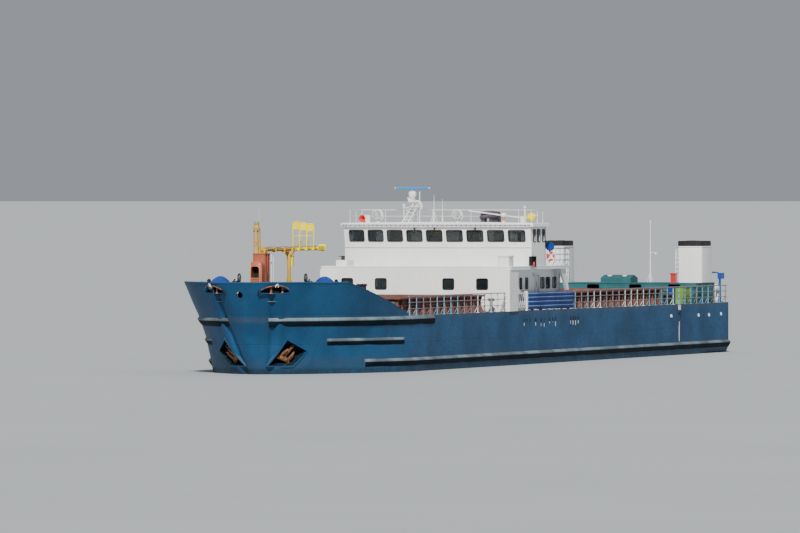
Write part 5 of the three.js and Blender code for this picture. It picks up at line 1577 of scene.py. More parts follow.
def bridgeWalls():
    b = bridgeSizes
    half, foot, top, end, corner = b["half"], b["foot"], b["top"], b["sideEnd"], b["front"] - b["bow"]
    margin, radius = 0.05, 0.09
    centres = [(i - 4) * b["pitch"] for i in range(9)]
    across = [-half, *[at + side * (b["pane"] / 2 + margin) for at in centres for side in (-1, 1)], half]
    levels = [foot, 6.4, b["rakeFrom"], b["sill"] - margin, b["head"] + margin, top]
    panes = {(1 + 2 * i, 3): radius for i in range(9)}

    def atFront(flat):
        return np.stack([bridgeFace(flat[:, 0], flat[:, 1]), flat[:, 0], flat[:, 1]], -1)

    walls = {"bridge_front": openWall(across, levels, panes, atFront, (1, 0, 0), margin)}
    frontHoles = [(at - b["pane"] / 2, at + b["pane"] / 2, b["sill"], b["head"], radius) for at in centres]
    lean = unit([1, 0, -b["rake"] / (top - b["rakeFrom"])])
    fits = windowFits(frontHoles, atFront, lean)
    atBack = atX(b["back"])
    backHoles = [(y - 0.45, y + 0.45, 7.25, 7.95, 0.09)
                 for y in (-4.4, -2.2, 0, 2.2)] + [(4.1, 4.9, 6.0, 7.9, None)]
    walls["bridge_back"] = wallOf((-half, half), (foot, top), backHoles, atBack, (-1, 0, 0))
    fits += windowFits(backHoles, atBack, (-1, 0, 0))
    for side, name in shipSides:
        def atSide(flat, side=side):
            x, z = flat[:, 0], flat[:, 1]
            lean = np.clip((x - end) / (corner - end), 0, 1) * (bridgeFace(half, z) - corner)
            return np.stack([x + lean, np.full(len(flat), side * half), z], -1)

        holes = [(left, right, 7.31, 8.03, 0.08) for left, right in bridgeSideHoles]
        walls["bridge_side_" + name] = joined(
            wallOf((b["back"], end), (foot, top), holes, atSide, (0, side, 0)),
            openWall([end, corner], [foot, b["rakeFrom"], top], {}, atSide, (0, side, 0)))
        fits += windowFits(holes, atSide, (0, side, 0))
    return walls, *[joined(*forms) for forms in zip(*fits)]


bridgeParts, bridgeSeals, bridgePanes = bridgeWalls()
for name, form in bridgeParts.items():
    putPiece(name + "_plating", form, [whitePaint], nodes=[name], closed=False,
             thick=bridgeSizes["wall"])
putPiece("bridge_window_seals", bridgeSeals, [rubberPaint])
putPiece("bridge_window_panes", bridgePanes, [darkGlass], nodes=["bridge_glass"])


# What shows through the bridge windows: floor, console, chart table and chairs.
def bridgeRoom():
    room = [blocks([(0.62, 3.25), (-5.7, 5.7), (6.0, 6.05)]),
            blocks([(2.7, 3.35), (-1.5, 1.5), (6.05, 6.95)], [(2.5, 3.1), (-4.6, -3.2), (6.05, 6.9)],
                   [(2.5, 3.2), (2.6, 4.0), (6.05, 6.85)])]
    room.append(slab([[2.62, 6.95], [3.35, 7.05], [3.35, 7.2], [3.2, 7.22]], 1, -1.4, 1.4))
    for y in (-0.8, 0.9):
        room.append(lathe([[0.24, 6.05], [0.05, 6.1], [0.05, 6.5], [0.26, 6.54], [0.26, 6.6],
                           [0.05, 6.62]], (1.7, y, 0), sides=16))
        room.append(slab(softOutline(y - 0.24, y + 0.24, 6.6, 7.3, 0.1), 0, 1.42, 1.5))
    return joined(*room)


putPiece("bridge_room", bridgeRoom(), [roomPaint], bevel=0.01)

# Curtains hung behind the panes: name, from, to, upper edge, lower edge, cloth.
curtainRows = [("curtain_port", 4.56, 4.98, 8.1, 7.1, curtainPale),
               ("curtain_port_end", 5.2, 5.6, 8.1, 7.1, curtainPale),
               ("curtain_starboard_end", -5.66, -5.36, 8.1, 7.1, curtainPale),
               ("curtain_starboard", -4.6, -4.36, 8.1, 7.1, curtainPale),
               ("curtain_middle", -0.28, 0.32, 8.1, 7.76, curtainYellow)]


# A curtain's folds are a sine of its breadth, deeper towards the lower edge.
def hangCurtain(name, low, high, top, bottom, cloth):
    y = np.linspace(low, high, 49)
    down = np.linspace(0, 1, 5)[:, None]
    fold = (0.012 + 0.016 * down) * np.sin((y - low) * 2 * np.pi / 0.11)
    x = bridgeFace(y, top - (top - bottom) * down) - bridgeSizes["wall"] - 0.1 + fold
    points = np.stack(np.broadcast_arrays(x, y[None], top - (top - bottom) * down), -1)
    piece = putPiece(name, gridForm(points), [cloth], closed=False, thick=0.006)


rodForms = []
for low, high in ((4.4, 5.7), (-5.7, -4.2), (-0.45, 0.45)):
    y = np.linspace(low, high, 9)
    rodForms.append(pipe(np.column_stack([bridgeFace(y, 8.1) - bridgeSizes["wall"] - 0.1, y,
                                          np.full(9, 8.1)]), 0.012, 8))
putPiece("bridge_curtain_rods", joined(*rodForms), [steelBare], smooth=45)
for row in curtainRows:
    hangCurtain(*row)


# The roof: a cambered slab that follows the bowed front, with a fascia round its edge.
def bridgeRoof():
    b = bridgeSizes
    over, half = b["overhang"], b["half"] + b["overhang"]
    y = np.linspace(-half, half, 41)
    front = bridgeFace(y, b["top"]) + over
    front = front - 0.12 * np.clip((np.abs(y) - half + 0.15) / 0.15, 0, 1) ** 2
    back = np.full(41, b["back"] - 0.2)
    t = np.linspace(0, 1, 9)[:, None]
    x = back + (front - back) * t
    grid = np.stack([x, np.broadcast_to(y, x.shape), np.zeros_like(x)], -1)
    camber = 0.06 * (1 - (y / half) ** 2)
    top, low = grid + [0, 0, 1] * (b["roof"] - 0.06 + camber)[None, :, None], grid + [0, 0, b["top"]]
    outline = np.concatenate([grid[0], grid[1:, -1], grid[-1, ::-1][1:], grid[::-1, 0][1:-1]])
    count = len(outline)
    ringLow = outline + [0, 0, b["top"]]
    ringMid = outline + [0, 0, b["roof"] - 0.09]
    ringTop = np.concatenate([top[0], top[1:, -1], top[-1, ::-1][1:], top[::-1, 0][1:-1]])
    ringTop = ringTop + (ringTop.mean(0) - ringTop) * [0.004, 0.004, 0]
    sides = gridForm(np.stack([ringLow, ringMid, ringTop]), wrapColumns=True)
    surface, under = gridForm(top + (ringTop.mean(0) - top) * [0.004, 0.004, 0]), gridForm(low)
    return joined(sides, surface, (under[0], [(a[:, ::-1], tone) for a, tone in under[1]]))


putPiece("bridge_roof_plate", bridgeRoof(), [whitePaint], nodes=["bridge_roof"],
         closed=False, smooth=40)


# On the roof: gutter and grab rail in front, mast lug, winch, post, caged lamp, stowed pipes and boxes.
def roofFittings():
    b = bridgeSizes
    y = np.linspace(-5.9, 5.9, 41)
    face = bridgeFace(y, b["top"]) + b["overhang"]
    gutterShadeLine = alongPath(np.column_stack([face + 0.012, y, np.full(41, 8.3)]), softSection(0.035, 0.05, 0.01))
    clips = joined(*[blocks([(x - 0.01, x + 0.045), (v - 0.035, v + 0.035), (8.25, 8.335)])
                     for x, v in zip(face[1:-1], y[1:-1])])
    grab = alongPath(np.column_stack([bridgeFace(y, 7.0) + 0.06, y, np.full(41, 6.98)]),
                     roundSection(0.018, 6))
    stubs = joined(*[rods([[bridgeFace(v, 6.98) - 0.01, v, 6.98]], [[bridgeFace(v, 6.98) + 0.06, v, 6.98]],
                          0.014, 6) for v in np.linspace(-5.6, 5.6, 9)])
    lug = blocks(*[((1.84 + dx, 1.84 + dx + 0.04), (4.74, 4.96), (roofZ, 8.8)) for dx in (-0.05, 0.13)])
    pin = rods([1.76, 4.85, 8.72], [2.04, 4.85, 8.72], 0.028, 10)
    post = lathe([[0.1, 8.42], [0.07, 8.5], [0.055, 8.55], [0.05, 9.28], [0.09, 9.32], [0.09, 9.4],
                  [0.03, 9.45]], (1.64, 4.9, 0), sides=14)
    winch = lathe([[0.12, -0.12], [0.12, -0.1], [0.07, -0.09], [0.07, 0.09], [0.12, 0.1], [0.12, 0.12]],
                  (1.5, 4.86, 8.7), (0, 1, 0), 16)
    lamp = [lathe([[0.12, 8.42], [0.1, 8.5], [0.1, 8.56]], (2.4, 3.8, 0), sides=14),
            lathe([[0.05, 8.78], [0.16, 8.8], [0.19, 8.9], [0.14, 9.0], [0.03, 9.04]], (2.4, 3.8, 0),
                  sides=18)]
    angle = np.linspace(0, 2 * np.pi, 33)[:-1:4]
    basket = copies(rods([0, 0, 8.5], [0, 0, 8.86], 0.014, 6),
                    np.stack([2.4 + 0.14 * np.cos(angle), 3.8 + 0.14 * np.sin(angle), np.zeros(8)], -1))
    xs = np.linspace(0, 1, 20)
    stowedPipes = [pipe(np.column_stack([1.0 + wide + 0.3 * xs, 2.0 + 1.25 * xs,
                                         8.76 + lift + 0.07 * np.sin(np.pi * xs)]), radius, 12)
                   for wide, lift, radius in ((0, 0, 0.13), (0.28, 0.0, 0.11), (0.12, 0.22, 0.1))]
    stowedBoxes = [slab(softOutline(0.9, 1.5, 2.6, 3.2, 0.06), 2, roofZ, 8.86),
                   slab(softOutline(0.85, 1.4, 2.05, 2.3, 0.05), 2, roofZ, 8.74)]
    yellowFloat = lathe([[0.03, -0.3], [0.16, -0.27], [0.25, -0.12], [0.26, 0.05], [0.2, 0.2], [0.06, 0.29],
                         [0.03, 0.36]], (0.95, 5.1, 8.77), (0, 1, 0.2), 20)
    white = joined(grab, stubs, lug, pin, post, winch, *lamp)
    # The gutter and its clips take the dull grey, a painted shadow line under the roof's edge.
    return joined(painted(white, 0), painted(joined(gutterShadeLine, clips), 1),
                  painted(joined(*stowedPipes, *stowedBoxes), 2), painted(yellowFloat, 3),
                  painted(basket, 4))


putPiece("roof_fittings", roofFittings(), [whiteGear, railPaints[2], gearPurple, lemonPaint, ochrePaint],
         smooth=40)
wiperArms = []
for i in (3, 4, 6):
    centre = (i - 4) * bridgeSizes["pitch"]
    foot = np.array([bridgeFace(centre, 8.06) + 0.03, centre + 0.05, 8.06])
    tip = np.array([bridgeFace(centre, 7.5) + 0.035, centre - 0.28, 7.5])
    wiperArms.append(rods(foot, tip, 0.01, 5))
    wiperArms.append(beams(tip + [0.04, 0, 0.24], tip - [0.03, 0, 0.16], flatSection(0.02, 0.02)))
    wiperArms.append(blocks([(foot[0] - 0.03, foot[0] + 0.03), (foot[1] - 0.05, foot[1] + 0.05),
                             (8.04, 8.12)]))
putPiece("window_wipers", joined(*wiperArms), [blackAndShadePaint])


# Rail round the after part of the roof, and two whips with their stays.
def roofRailForm():
    path = np.array([[2.9, 5.7], [0.57, 5.7], [0.57, -5.7], [2.9, -5.7]])
    forms = []
    for z, radius in ((8.82, 0.016), (9.2, 0.024)):
        forms.append(pipe(atHeight(path, z), radius, 6))
    spots = [(x, side * 5.7) for x in (2.9, 1.7, 0.57) for side in (1, -1)]
    spots += [(0.57, y) for y in (-4.2, -2.7, -1.2, 1.2, 2.7, 4.2)]
    forms.append(copies(rods([0, 0, 8.4], [0, 0, 9.2], 0.02, 6), np.array([[x, y, 0] for x, y in spots])))
    whips = [lathe([[0.05, 8.4], [0.05, 8.7], [0.028, 8.74], [0.022, 9.3], [0.009, top]], (0.57, y, 0),
                   sides=8) for y, top in ((-1.13, 10.1), (-0.6, 9.85))]
    stays = [rods([[0.57, -1.13 + 0.22 * math.cos(k), roofZ], [0.57, -0.8, roofZ]],
                  [[0.57, -1.13, 9.1], [0.57, -0.8, 9.5]], 0.018, 6) for k in (0, math.pi)]
    return joined(*forms, *whips, *stays)


putPiece("roof_rail_tubes", roofRailForm(), [whiteGear], nodes=["roof_rail"], smooth=45)


# The radar mast: a leaning ladder of legs, a goose neck, a bracket and gearbox, and a lamp post beside.
def radarMast():
    x = 2.3
    feet = [[x + dx, y, 8.46] for dx in (0.3, -0.3) for y in (-2.5, -2.12)]
    heads = [[x + dx, y, 9.6] for dx in (0.1, -0.1) for y in (-1.86, -1.5)]
    legs = rods(feet, heads, 0.045, 10)
    share = np.linspace(0.12, 0.88, 5)[:, None]
    first, second = np.array(feet), np.array(heads)
    rungs = rods(first[0] + (second[0] - first[0]) * share, first[1] + (second[1] - first[1]) * share,
                 0.022, 6)
    turn = np.linspace(-0.35, 1.0, 9) * np.pi / 1.4
    neck = pipe(np.concatenate([[[x, -2.12, 9.96]],
                                np.stack([np.full(9, x), -1.68 + 0.3 * np.sin(turn),
                                          9.42 + 0.3 * np.cos(turn)], -1)]), 0.075, 12)
    bracket = slab([[-2.24, 9.95], [-1.9, 9.95], [-1.76, 9.68], [-2.16, 9.66]], 0, x - 0.12, x + 0.12)
    shelf = joined(blocks([(x - 0.12, x + 0.12), (-2.52, -1.9), (9.3, 9.36)]),
                   beams([x, -2.46, 9.3], [x, -2.05, 9.0], flatSection(0.05, 0.04), up=(1, 0, 0)))
    platform = slab(softOutline(x - 0.28, x + 0.28, -2.1, -1.45, 0.1), 2, 9.36, 9.41)
    post = rods([[x, -1.5, roofZ], [x + 0.02, -2.48, roofZ]], [[x, -1.5, 10.3], [x + 0.02, -2.48, 9.4]],
                0.035, 8)
    lamp = lathe([[0.05, 9.38], [0.09, 9.4], [0.09, 9.52], [0.04, 9.56]], (x + 0.02, -2.48, 0), sides=14)
    column = lathe([[0.18, 9.9], [0.15, 9.98], [0.14, 10.02]], (x, -1.95, 0), sides=18)
    gearbox = lathe([[0.14, 9.96], [0.22, 10.0], [0.24, 10.08], [0.24, 10.22], [0.2, 10.3], [0.1, 10.345]],
                    (x, -1.95, 0), sides=24)
    cable = pipe([[x + 0.05, -1.8, 9.9], [x + 0.2, -1.62, 9.5], [x + 0.3, -1.55, 8.9],
                  [x + 0.32, -1.5, 8.46]], 0.014, 5)
    return joined(legs, rungs, neck, bracket, shelf, platform, post, lamp, column, gearbox, cable)


putPiece("radar_mast_frame", radarMast(), [whiteGear], nodes=["radar_mast"], smooth=40)
bar = slab(softOutline(2.22, 2.38, 10.445, 10.58, 0.04, 3), 1, -1.95 - 1.05, -1.95 + 1.05)
tips = joined(*[slab(softOutline(2.225, 2.375, 10.445, 10.58, 0.045, 3), 1, low, low + 0.05)
                for low in (-1.95 - 1.085, -1.95 + 1.035)])
bandForm = blocks([(2.37, 2.378), (-2.88, -1.02), (10.5, 10.53)])
hub = lathe([[0.1, 10.37], [0.13, 10.4], [0.1, 10.46]], (2.3, -1.95, 0), sides=20)
putPiece("radar_scanner_bar", joined(painted(joined(bar, hub), 0), painted(joined(tips, bandForm), 1)),
         [scannerPaint, whiteGear],
         nodes=["radar_scanner"], body="radar_scanner_body", smooth=40)


# A searchlight: stem and yoke, drum with cooling fins behind, rim and lens in front.
def searchlightForm(x, y):
    z = 8.94
    stem = lathe([[0.16, roofZ], [0.14, 8.48], [0.07, 8.5], [0.06, 8.62]], (x, y, 0), sides=16)
    yoke = pipe([[x, y - 0.31, z], [x, y - 0.31, 8.72], [x, y - 0.22, 8.62], [x, y + 0.22, 8.62],
                 [x, y + 0.31, 8.72], [x, y + 0.31, z]], 0.03, 6)
    drum = lathe([[0.06, -0.28], [0.16, -0.27], [0.23, -0.18], [0.265, -0.05], [0.28, 0.14], [0.3, 0.15],
                  [0.3, 0.19], [0.27, 0.2]], (x, y, z), (1, 0, 0), 28)
    fins = joined(*[lathe([[0.18, d], [0.3, d + 0.008], [0.3, d + 0.02], [0.18, d + 0.028]], (x, y, z),
                          (1, 0, 0), 24) for d in (-0.1, -0.04, 0.02)])
    lens = lathe([[0.02, 0.185], [0.14, 0.2], [0.265, 0.205]], (x, y, z), (1, 0, 0), 28)
    knobs = rods([[x, y - 0.35, z]], [[x, y + 0.35, z]], 0.035, 8)
    return joined(painted(joined(stem, yoke, drum, fins, knobs), 0), painted(lens, 1))


for name, y in (("starboard", -3.85), ("port", 1.15)):
    putPiece("searchlight_" + name + "_drum", searchlightForm(3.2, y), [whiteGear, lensGlass],
             nodes=["searchlight_" + name], smooth=40)
x, y, z = 3.2, -4.75, 8.68
bell = lathe([[0.05, -0.29], [0.1, -0.28], [0.11, -0.22], [0.05, -0.2], [0.045, -0.1], [0.07, 0.05],
              [0.13, 0.19], [0.215, 0.28], [0.22, 0.3],
              [0.19, 0.29], [0.11, 0.18], [0.03, 0.02]], (x, y, z), (1, 0, 0), 28)
stem = lathe([[0.1, 8.42], [0.09, 8.46], [0.04, 8.48], [0.04, 8.64]], (x - 0.1, y, 0), sides=14)
box = slab(softOutline(x - 0.25, x - 0.05, y + 0.04, y + 0.38, 0.03), 2, roofZ, 8.9)
putPiece("horn_bell", joined(painted(bell, 0), painted(joined(stem, box), 1)), [redPaint, whiteGear],
         nodes=["horn"], smooth=45)
xs = np.linspace(4.85, 1.5, 12)
pole = alongPath(np.column_stack([np.full(12, 1.9), xs, 8.72 + (4.85 - xs) * 0.1267]),
                 roundSection(0.04, 10), up=(1, 0, 0))
hub = hollowRing([[0.03, -0.06], [0.09, -0.06], [0.09, 0.06], [0.03, 0.06]], (1.9, 4.85, 8.72), (1, 0, 0),
                 20)
ends = joined(lathe([[0.045, 0], [0.06, 0.02], [0.06, 0.08], [0.03, 0.1]], (1.9, 1.55, 9.138),
                    unit([0, -1, 0.1267]), 14),
              lathe([[0.041, 0], [0.055, 0.02], [0.055, 0.08], [0.041, 0.1]], (1.9, 3.3, 8.916),
                    unit([0, -1, 0.1267]), 14))
putPiece("roof_mast_pole", joined(pole, hub, ends), [whiteGear], nodes=["roof_mast"],
         body="roof_mast_body", smooth=45)


# Sidelight boxes on the boat deck: a box open forward and outboard, dark inside, with a coloured lamp.
def sidelightBox():
    outer = blocks([(3.0, 4.0), (5.86, 5.88), (5.8, 6.42)], [(2.98, 3.0), (5.86, 6.03), (5.8, 6.42)],
                   [(2.98, 4.02), (5.86, 6.03), (6.4, 6.44)],
                   [(2.98, 4.02), (5.86, 6.03), (5.8, 5.84)])
    inner = blocks([(3.01, 3.99), (5.885, 5.9), (5.845, 6.395)],
                   [(3.005, 3.02), (5.9, 6.02), (5.845, 6.395)])
    lamp = lathe([[0.03, 5.86], [0.055, 5.88], [0.055, 6.06], [0.03, 6.1]], (3.3, 5.96, 0), sides=16)
    return outer, inner, lamp


outer, inner, lamp = sidelightBox()
putPiece("sidelight_screens", joined(painted(bothSides(joined(outer, inner)), 0), painted(lamp, 1),
                                     painted(mirrored(lamp), 2)),
         [blackAndShadePaint, redPaint, greenPaint], smooth=40)
print("bridge done")

casingSizes = {"back": -39.0, "front": -34.6, "half": 5.45, "foot": deckZ, "top": 4.5}


# Louvres: like slats one above the other, each put in place by the wall that carries it.
def louvres(x0, x1, low, high, place, count=8):
    forms = []
    for i in range(count):
        z = low + (high - low) * (i + 0.5) / count
        section = [[0, z - 0.04], [0.05, z - 0.06], [0.06, z - 0.05], [0.01, z + 0.03]]
        forms.append(place(section, x0, x1))
    return joined(*forms)


# The engine casing: a low box with doors, louvres and ribs, a skylight with ports, and canisters behind it.
def casingForm():
    c = casingSizes
    outline = softOutline(c["back"], c["front"], -c["half"], c["half"], 0.12)
    body = slab(outline, 2, c["foot"], c["top"])
    coam = alongPath(atHeight(outline, c["top"] - 0.03), softSection(0.07, 0.07, 0.02), closed=True)
    doors, slats = [], []
    for x in (-38.2, -36.6):
        doors.append(slab(softOutline(x, x + 0.8, 3.35, 4.4, 0.08), 1, c["half"], c["half"] + 0.04))
    for y in (-4.0, -1.4, 1.4, 4.0):
        doors.append(slab(softOutline(y - 0.4, y + 0.4, 3.35, 4.4, 0.08), 0, c["front"], c["front"] + 0.04))
        doors.append(slab(softOutline(y - 0.4, y + 0.4, 3.35, 4.4, 0.08), 0, c["back"] - 0.04, c["back"]))
    slats.append(louvres(-35.6, -34.9, 3.5, 4.3,
                         lambda section, x0, x1: slab(np.array(section) + [c["half"], 0], 0, x0, x1)))
    ribs = blocks(*[((x - 0.025, x + 0.025), (c["half"], c["half"] + 0.05), (deckZ, 4.45))
                    for x in (-38.8, -37.1, -35.7, -34.8)])
    skylight = slab([[-36.6, 4.5], [-34.9, 4.5], [-34.9, 4.8], [-35.75, 5.0], [-36.6, 4.8]], 1, -1.0, 1.0)
    ports = joined(*[lathe([[0.16, 0], [0.16, 0.03], [0.12, 0.04], [0.03, 0.04]], (x, y, 4.93),
                           unit([0.22 * side, 0, 1]), 16)
                     for x, side in ((-36.2, -1), (-35.3, 1)) for y in (-0.5, 0.5)])
    rafts = []
    for y, z, radius in ((4.58, 4.08, 0.28), (5.2, 4.12, 0.24)):
        for side in (1, -1):
            rafts.append(lathe([[0.05, -0.44], [radius - 0.03, -0.42], [radius, -0.32], [radius, -0.03],
                                [radius + 0.015, -0.02], [radius + 0.015, 0.02],
                                [radius, 0.03], [radius, 0.32], [radius - 0.03, 0.42], [0.05, 0.44]],
                               (-39.9, side * y, z), (1, 0, 0), 24))
            feet = [((x - 0.03, x + 0.03), sorted((side * (y - 0.16), side * (y + 0.16))),
                     (deckZ, z - radius * 0.7)) for x in (-40.2, -39.6)]
            rafts.append(blocks(*feet))
    fore = bothSides(joined(*doors, ribs, *slats))
    return joined(painted(joined(body, coam, fore, skylight), 0), painted(joined(ports, *rafts), 1))


putPiece("engine_casing_plates", casingForm(), [tealPaint, whiteGear],
         nodes=["engine_casing"], bevel=0.012, smooth=40)
print("casing done")

funnelSizes = {"front": -36, "back": -38.6, "inner": 3.8, "outer": 5.42, "foot": 4.5, "top": 6.83,
               "cap": 7.2}


# A funnel: white trunk, rounded and sloped at the back, louvres and rungs inboard, black cap and pipes.
def funnelForm():
    f = funnelSizes
    levels = [(f["foot"], 0.0), (f["foot"] + 0.05, 0.0), (f["top"] - 0.25, 0.17), (f["top"] - 0.2, 0.18),
              (f["top"], 0.2)]
    rows = []
    for z, lean in levels:
        outline = softOutline(f["back"] + lean, f["front"], f["inner"], f["outer"], 0.16, 5)
        rows.append(atHeight(outline, z))
    trunk = gridForm(np.stack(rows), wrapColumns=True, capEnds=True)
    band = softOutline(f["back"] + 0.18, f["front"], f["inner"] + 0.01, f["outer"] - 0.01, 0.16, 5)
    rim = alongPath(atHeight(band, f["top"] - 0.03), softSection(0.07, 0.08, 0.02), closed=True)
    y = (f["inner"] + f["outer"]) / 2
    cap = [slab(softOutline(-38.4, -35.98, y - 0.79, y + 0.79, 0.14), 2, f["top"] - 0.02, f["cap"] - 0.04)]
    cap.append(slab(softOutline(-38.36, -36.02, y - 0.75, y + 0.75, 0.1), 2, f["cap"] - 0.05,
                    f["cap"] - 0.02))
    pipes = [lathe([[r, f["cap"] - 0.14], [r, f["cap"]], [r - 0.05, f["cap"]], [r - 0.05, f["cap"] - 0.1]],
                   (x, y + dy, 0), sides=18)
             for x, dy, r in ((-37.5, -0.2, 0.22), (-36.9, 0.25, 0.16), (-36.6, -0.25, 0.12))]
    slats = joined(*[slab([[f["inner"] + 0.01, z], [f["inner"] - 0.04, z - 0.04],
                           [f["inner"] - 0.045, z - 0.03], [f["inner"] + 0.01, z + 0.05]], 0, -37.3, -36.5)
                     for z in np.arange(4.8, 5.9, 0.13)])
    ladder = rods([[-36.2, f["inner"] - 0.16, 4.5], [-36.5, f["inner"] - 0.16, 4.5]],
                  [[-36.2, f["inner"] - 0.16, 6.6], [-36.5, f["inner"] - 0.16, 6.6]], 0.03, 8)
    rungs = copies(joined(rods([-36.2, f["inner"] - 0.16, 0], [-36.5, f["inner"] - 0.16, 0], 0.02, 6),
                          rods([-36.2, f["inner"] + 0.03, 0.1], [-36.2, f["inner"] - 0.16, 0.1], 0.02, 6)),
                   [[0, 0, 4.6 + 0.28 * i] for i in range(8)])
    white = joined(trunk, rim, slats, ladder, rungs)
    return joined(painted(white, 0), painted(joined(*cap, *pipes), 1))


for side, name in shipSides:
    putPiece("funnel_" + name + "_trunk", onSide(funnelForm(), side), [whitePaint, blackAndShadePaint],
             nodes=["funnel_" + name], bevel=0.01, smooth=40)


# A deck locker: a body, a lid that stands out a little, and a row of doors with handles.
def lockerForm(x0, x1, y0, y1, low, high, lids=2):
    body = slab(softOutline(x0, x1, y0, y1, 0.05), 2, low, high - 0.07)
    top = slab(softOutline(x0 - 0.04, x1 + 0.04, y0 - 0.04, y1 + 0.04, 0.07), 2, high - 0.07, high)
    forms = [body, top]
    wide = (x1 - x0) / lids
    for i in range(lids):
        left = x0 + i * wide + 0.08
        forms.append(slab(softOutline(left, left + wide - 0.16, low + 0.1, high - 0.16, 0.05), 1, y1,
                          y1 + 0.03))
        forms.append(blocks([(left + 0.1, left + 0.24), (y1 + 0.03, y1 + 0.06), (high - 0.5, high - 0.46)]))
    return joined(*forms)


putPiece("locker_green_doors", lockerForm(-33.6, -31.6, 4.9, 5.44, deckZ, 4.3, 3), [greenPaint],
         nodes=["locker_green"], bevel=0.01)
putPiece("locker_teal_doors", lockerForm(-34.5, -33.8, 4.9, 5.44, deckZ, 4.3, 1), [tealPaint],
         nodes=["locker_teal"], bevel=0.01)


# The staff at the stern: a stepped pole on a plate, a lamp on a short arm, and three stays.
def sternStaff():
    x, y = -40.4, 0.75
    plate = blocks([(-40.5, -40.3), (0.6, 0.9), (deckZ, 3.25)])
    pole = lathe([[0.08, deckZ], [0.06, 3.4], [0.055, 5.8], [0.04, 5.9], [0.035, 8.3], [0.05, 8.34],
                  [0.05, 8.42], [0.01, 8.48]], (x, y, 0), sides=12)
    arm = joined(rods([[x, y, 6.4]], [[x, y + 0.4, 6.4]], 0.02, 6),
                 lathe([[0.03, 6.2], [0.07, 6.24], [0.07, 6.36], [0.03, 6.4]], (x, y + 0.36, 0), sides=12))
    stays = rods([[x - 0.35, y, 3.22], [x + 0.3, y - 0.5, 3.22], [x + 0.3, y + 0.5, 3.22]],
                 [[x, y, 5.2]] * 3, 0.02, 6)
    return joined(plate, pole, arm, stays)


putPiece("stern_mast_pole", sternStaff(), [whiteGear], nodes=["stern_mast"], smooth=40)
davit = joined(lathe([[0.12, deckZ], [0.09, 3.3], [0.075, 4.7], [0.07, 4.9]], (-40.6, 5.35, 0), sides=14),
               pipe([[-40.6, 5.35, 4.7], [-40.6, 5.35, 5.0], [-40.6, 5.2, 5.12], [-40.6, 4.6, 5.14]], 0.05,
                    10),
               blocks([(-40.72, -40.48), (5.22, 5.62), (4.72, 5.1)],
                      [(-40.68, -40.52), (4.5, 4.7), (4.98, 5.12)]))
putPiece("stern_davit", davit, [panelPaint], bevel=0.02, smooth=40)
# Stores on the after deck: a red chest and two ribbed drums.
drumProfile = [[0.05, 3.22], [0.24, 3.22], [0.25, 3.5], [0.24, 3.52], [0.25, 3.54], [0.25, 3.84],
               [0.24, 3.86], [0.25, 3.88], [0.25, 4.2], [0.05, 4.22]]
stowage = joined(painted(blocks([(-35.3, -34.9), (3.66, 3.98), (4.5, 5.06)],
                                [(-35.34, -34.86), (3.62, 4.02), (5.06, 5.12)]), 0),
                 painted(lathe(drumProfile, (-34.3, 3.85, 0), sides=20), 1),
                 painted(lathe(drumProfile, (-33.9, 4.45, 0), sides=20), 2))
putPiece("after_deck_stores", stowage, [redPaint, panelPaint, tealPaint], smooth=40)
capstan = lathe([[0.42, deckZ], [0.4, 3.3], [0.24, 3.4], [0.2, 3.62], [0.24, 3.8], [0.32, 3.9],
                 [0.32, 3.98], [0.05, 4.02]], (-40.0, -1.6, 0), sides=28)
putPiece("stern_capstan", capstan, [panelPaint], smooth=45)


# Under the counter: shaft tubes and skegs, then the screws and the rudders that turn.
def shaftForm():
    p = (-36.3, 2.9, -1.15)
    tube = lathe([[0.1, -29.2], [0.16, -29.2], [0.16, -31.5], [0.13, -31.6], [0.13, -36.15], [0.16, -36.2],
                  [0.15, -36.28], [0.06, -36.28]], (0, p[1], p[2]), (1, 0, 0), 20)
    xs = np.array([-36.15, -36.05, -35.95, -35.85, -35.75, -35.85, -35.95, -36.05])
    ys = 2.9 + np.array([0, -0.05, -0.06, -0.045, 0, 0.045, 0.06, 0.05])
    rings = np.stack([np.column_stack([xs, ys, np.full(8, z)]) for z in (-1.15, -0.3)])
    skeg = gridForm(rings, wrapColumns=True, capEnds=True)
    return joined(tube, skeg)


putPiece("shaft_tubes", bothSides(shaftForm()), [hullBlue], smooth=45)


# A four-bladed screw: each blade is a surface whose pitch angle falls towards the tip.
def screwForm():
    hub = lathe([[0.04, -0.2], [0.11, -0.19], [0.15, -0.1], [0.16, 0.1], [0.14, 0.19], [0.1, 0.2]],
                (0, 0, 0), (1, 0, 0), 24)
    radii = np.linspace(0.12, 0.69, 12)
    t = (radii - 0.12) / 0.57
    chord = 0.2 + 0.34 * np.sqrt(np.clip(np.sin(np.pi * (0.12 + 0.85 * t)), 0, 1))
    pitch = np.radians(62 - 36 * t)
    blades = []
    share = np.linspace(-0.5, 0.5, 9)
    swing = chord[:, None] * share * np.cos(pitch)[:, None] / radii[:, None] + 0.2 * t[:, None]
    ahead = chord[:, None] * share * np.sin(pitch)[:, None]
    thick = 0.03 * (1 - 0.7 * t)[:, None] * (1 - (2 * share) ** 2)
    for k in range(4):
        turn = k * np.pi / 2 + swing

        def face(offset):
            return np.stack([np.clip(ahead * 0.6 + offset, -0.19, 0.19), radii[:, None] * np.cos(turn),
                             radii[:, None] * np.sin(turn)], -1)

        ring = np.concatenate([face(thick), face(-thick)[:, ::-1][:, 1:-1]], 1)
        blades.append(gridForm(ring, wrapColumns=True, capEnds=True))
    return joined(hub, *blades)


rudderSizes = {"x": -38, "y": 2.9, "front": -37.45, "back": -39.1, "bottom": -1.85, "top": -0.5,
               "thick": 0.15}


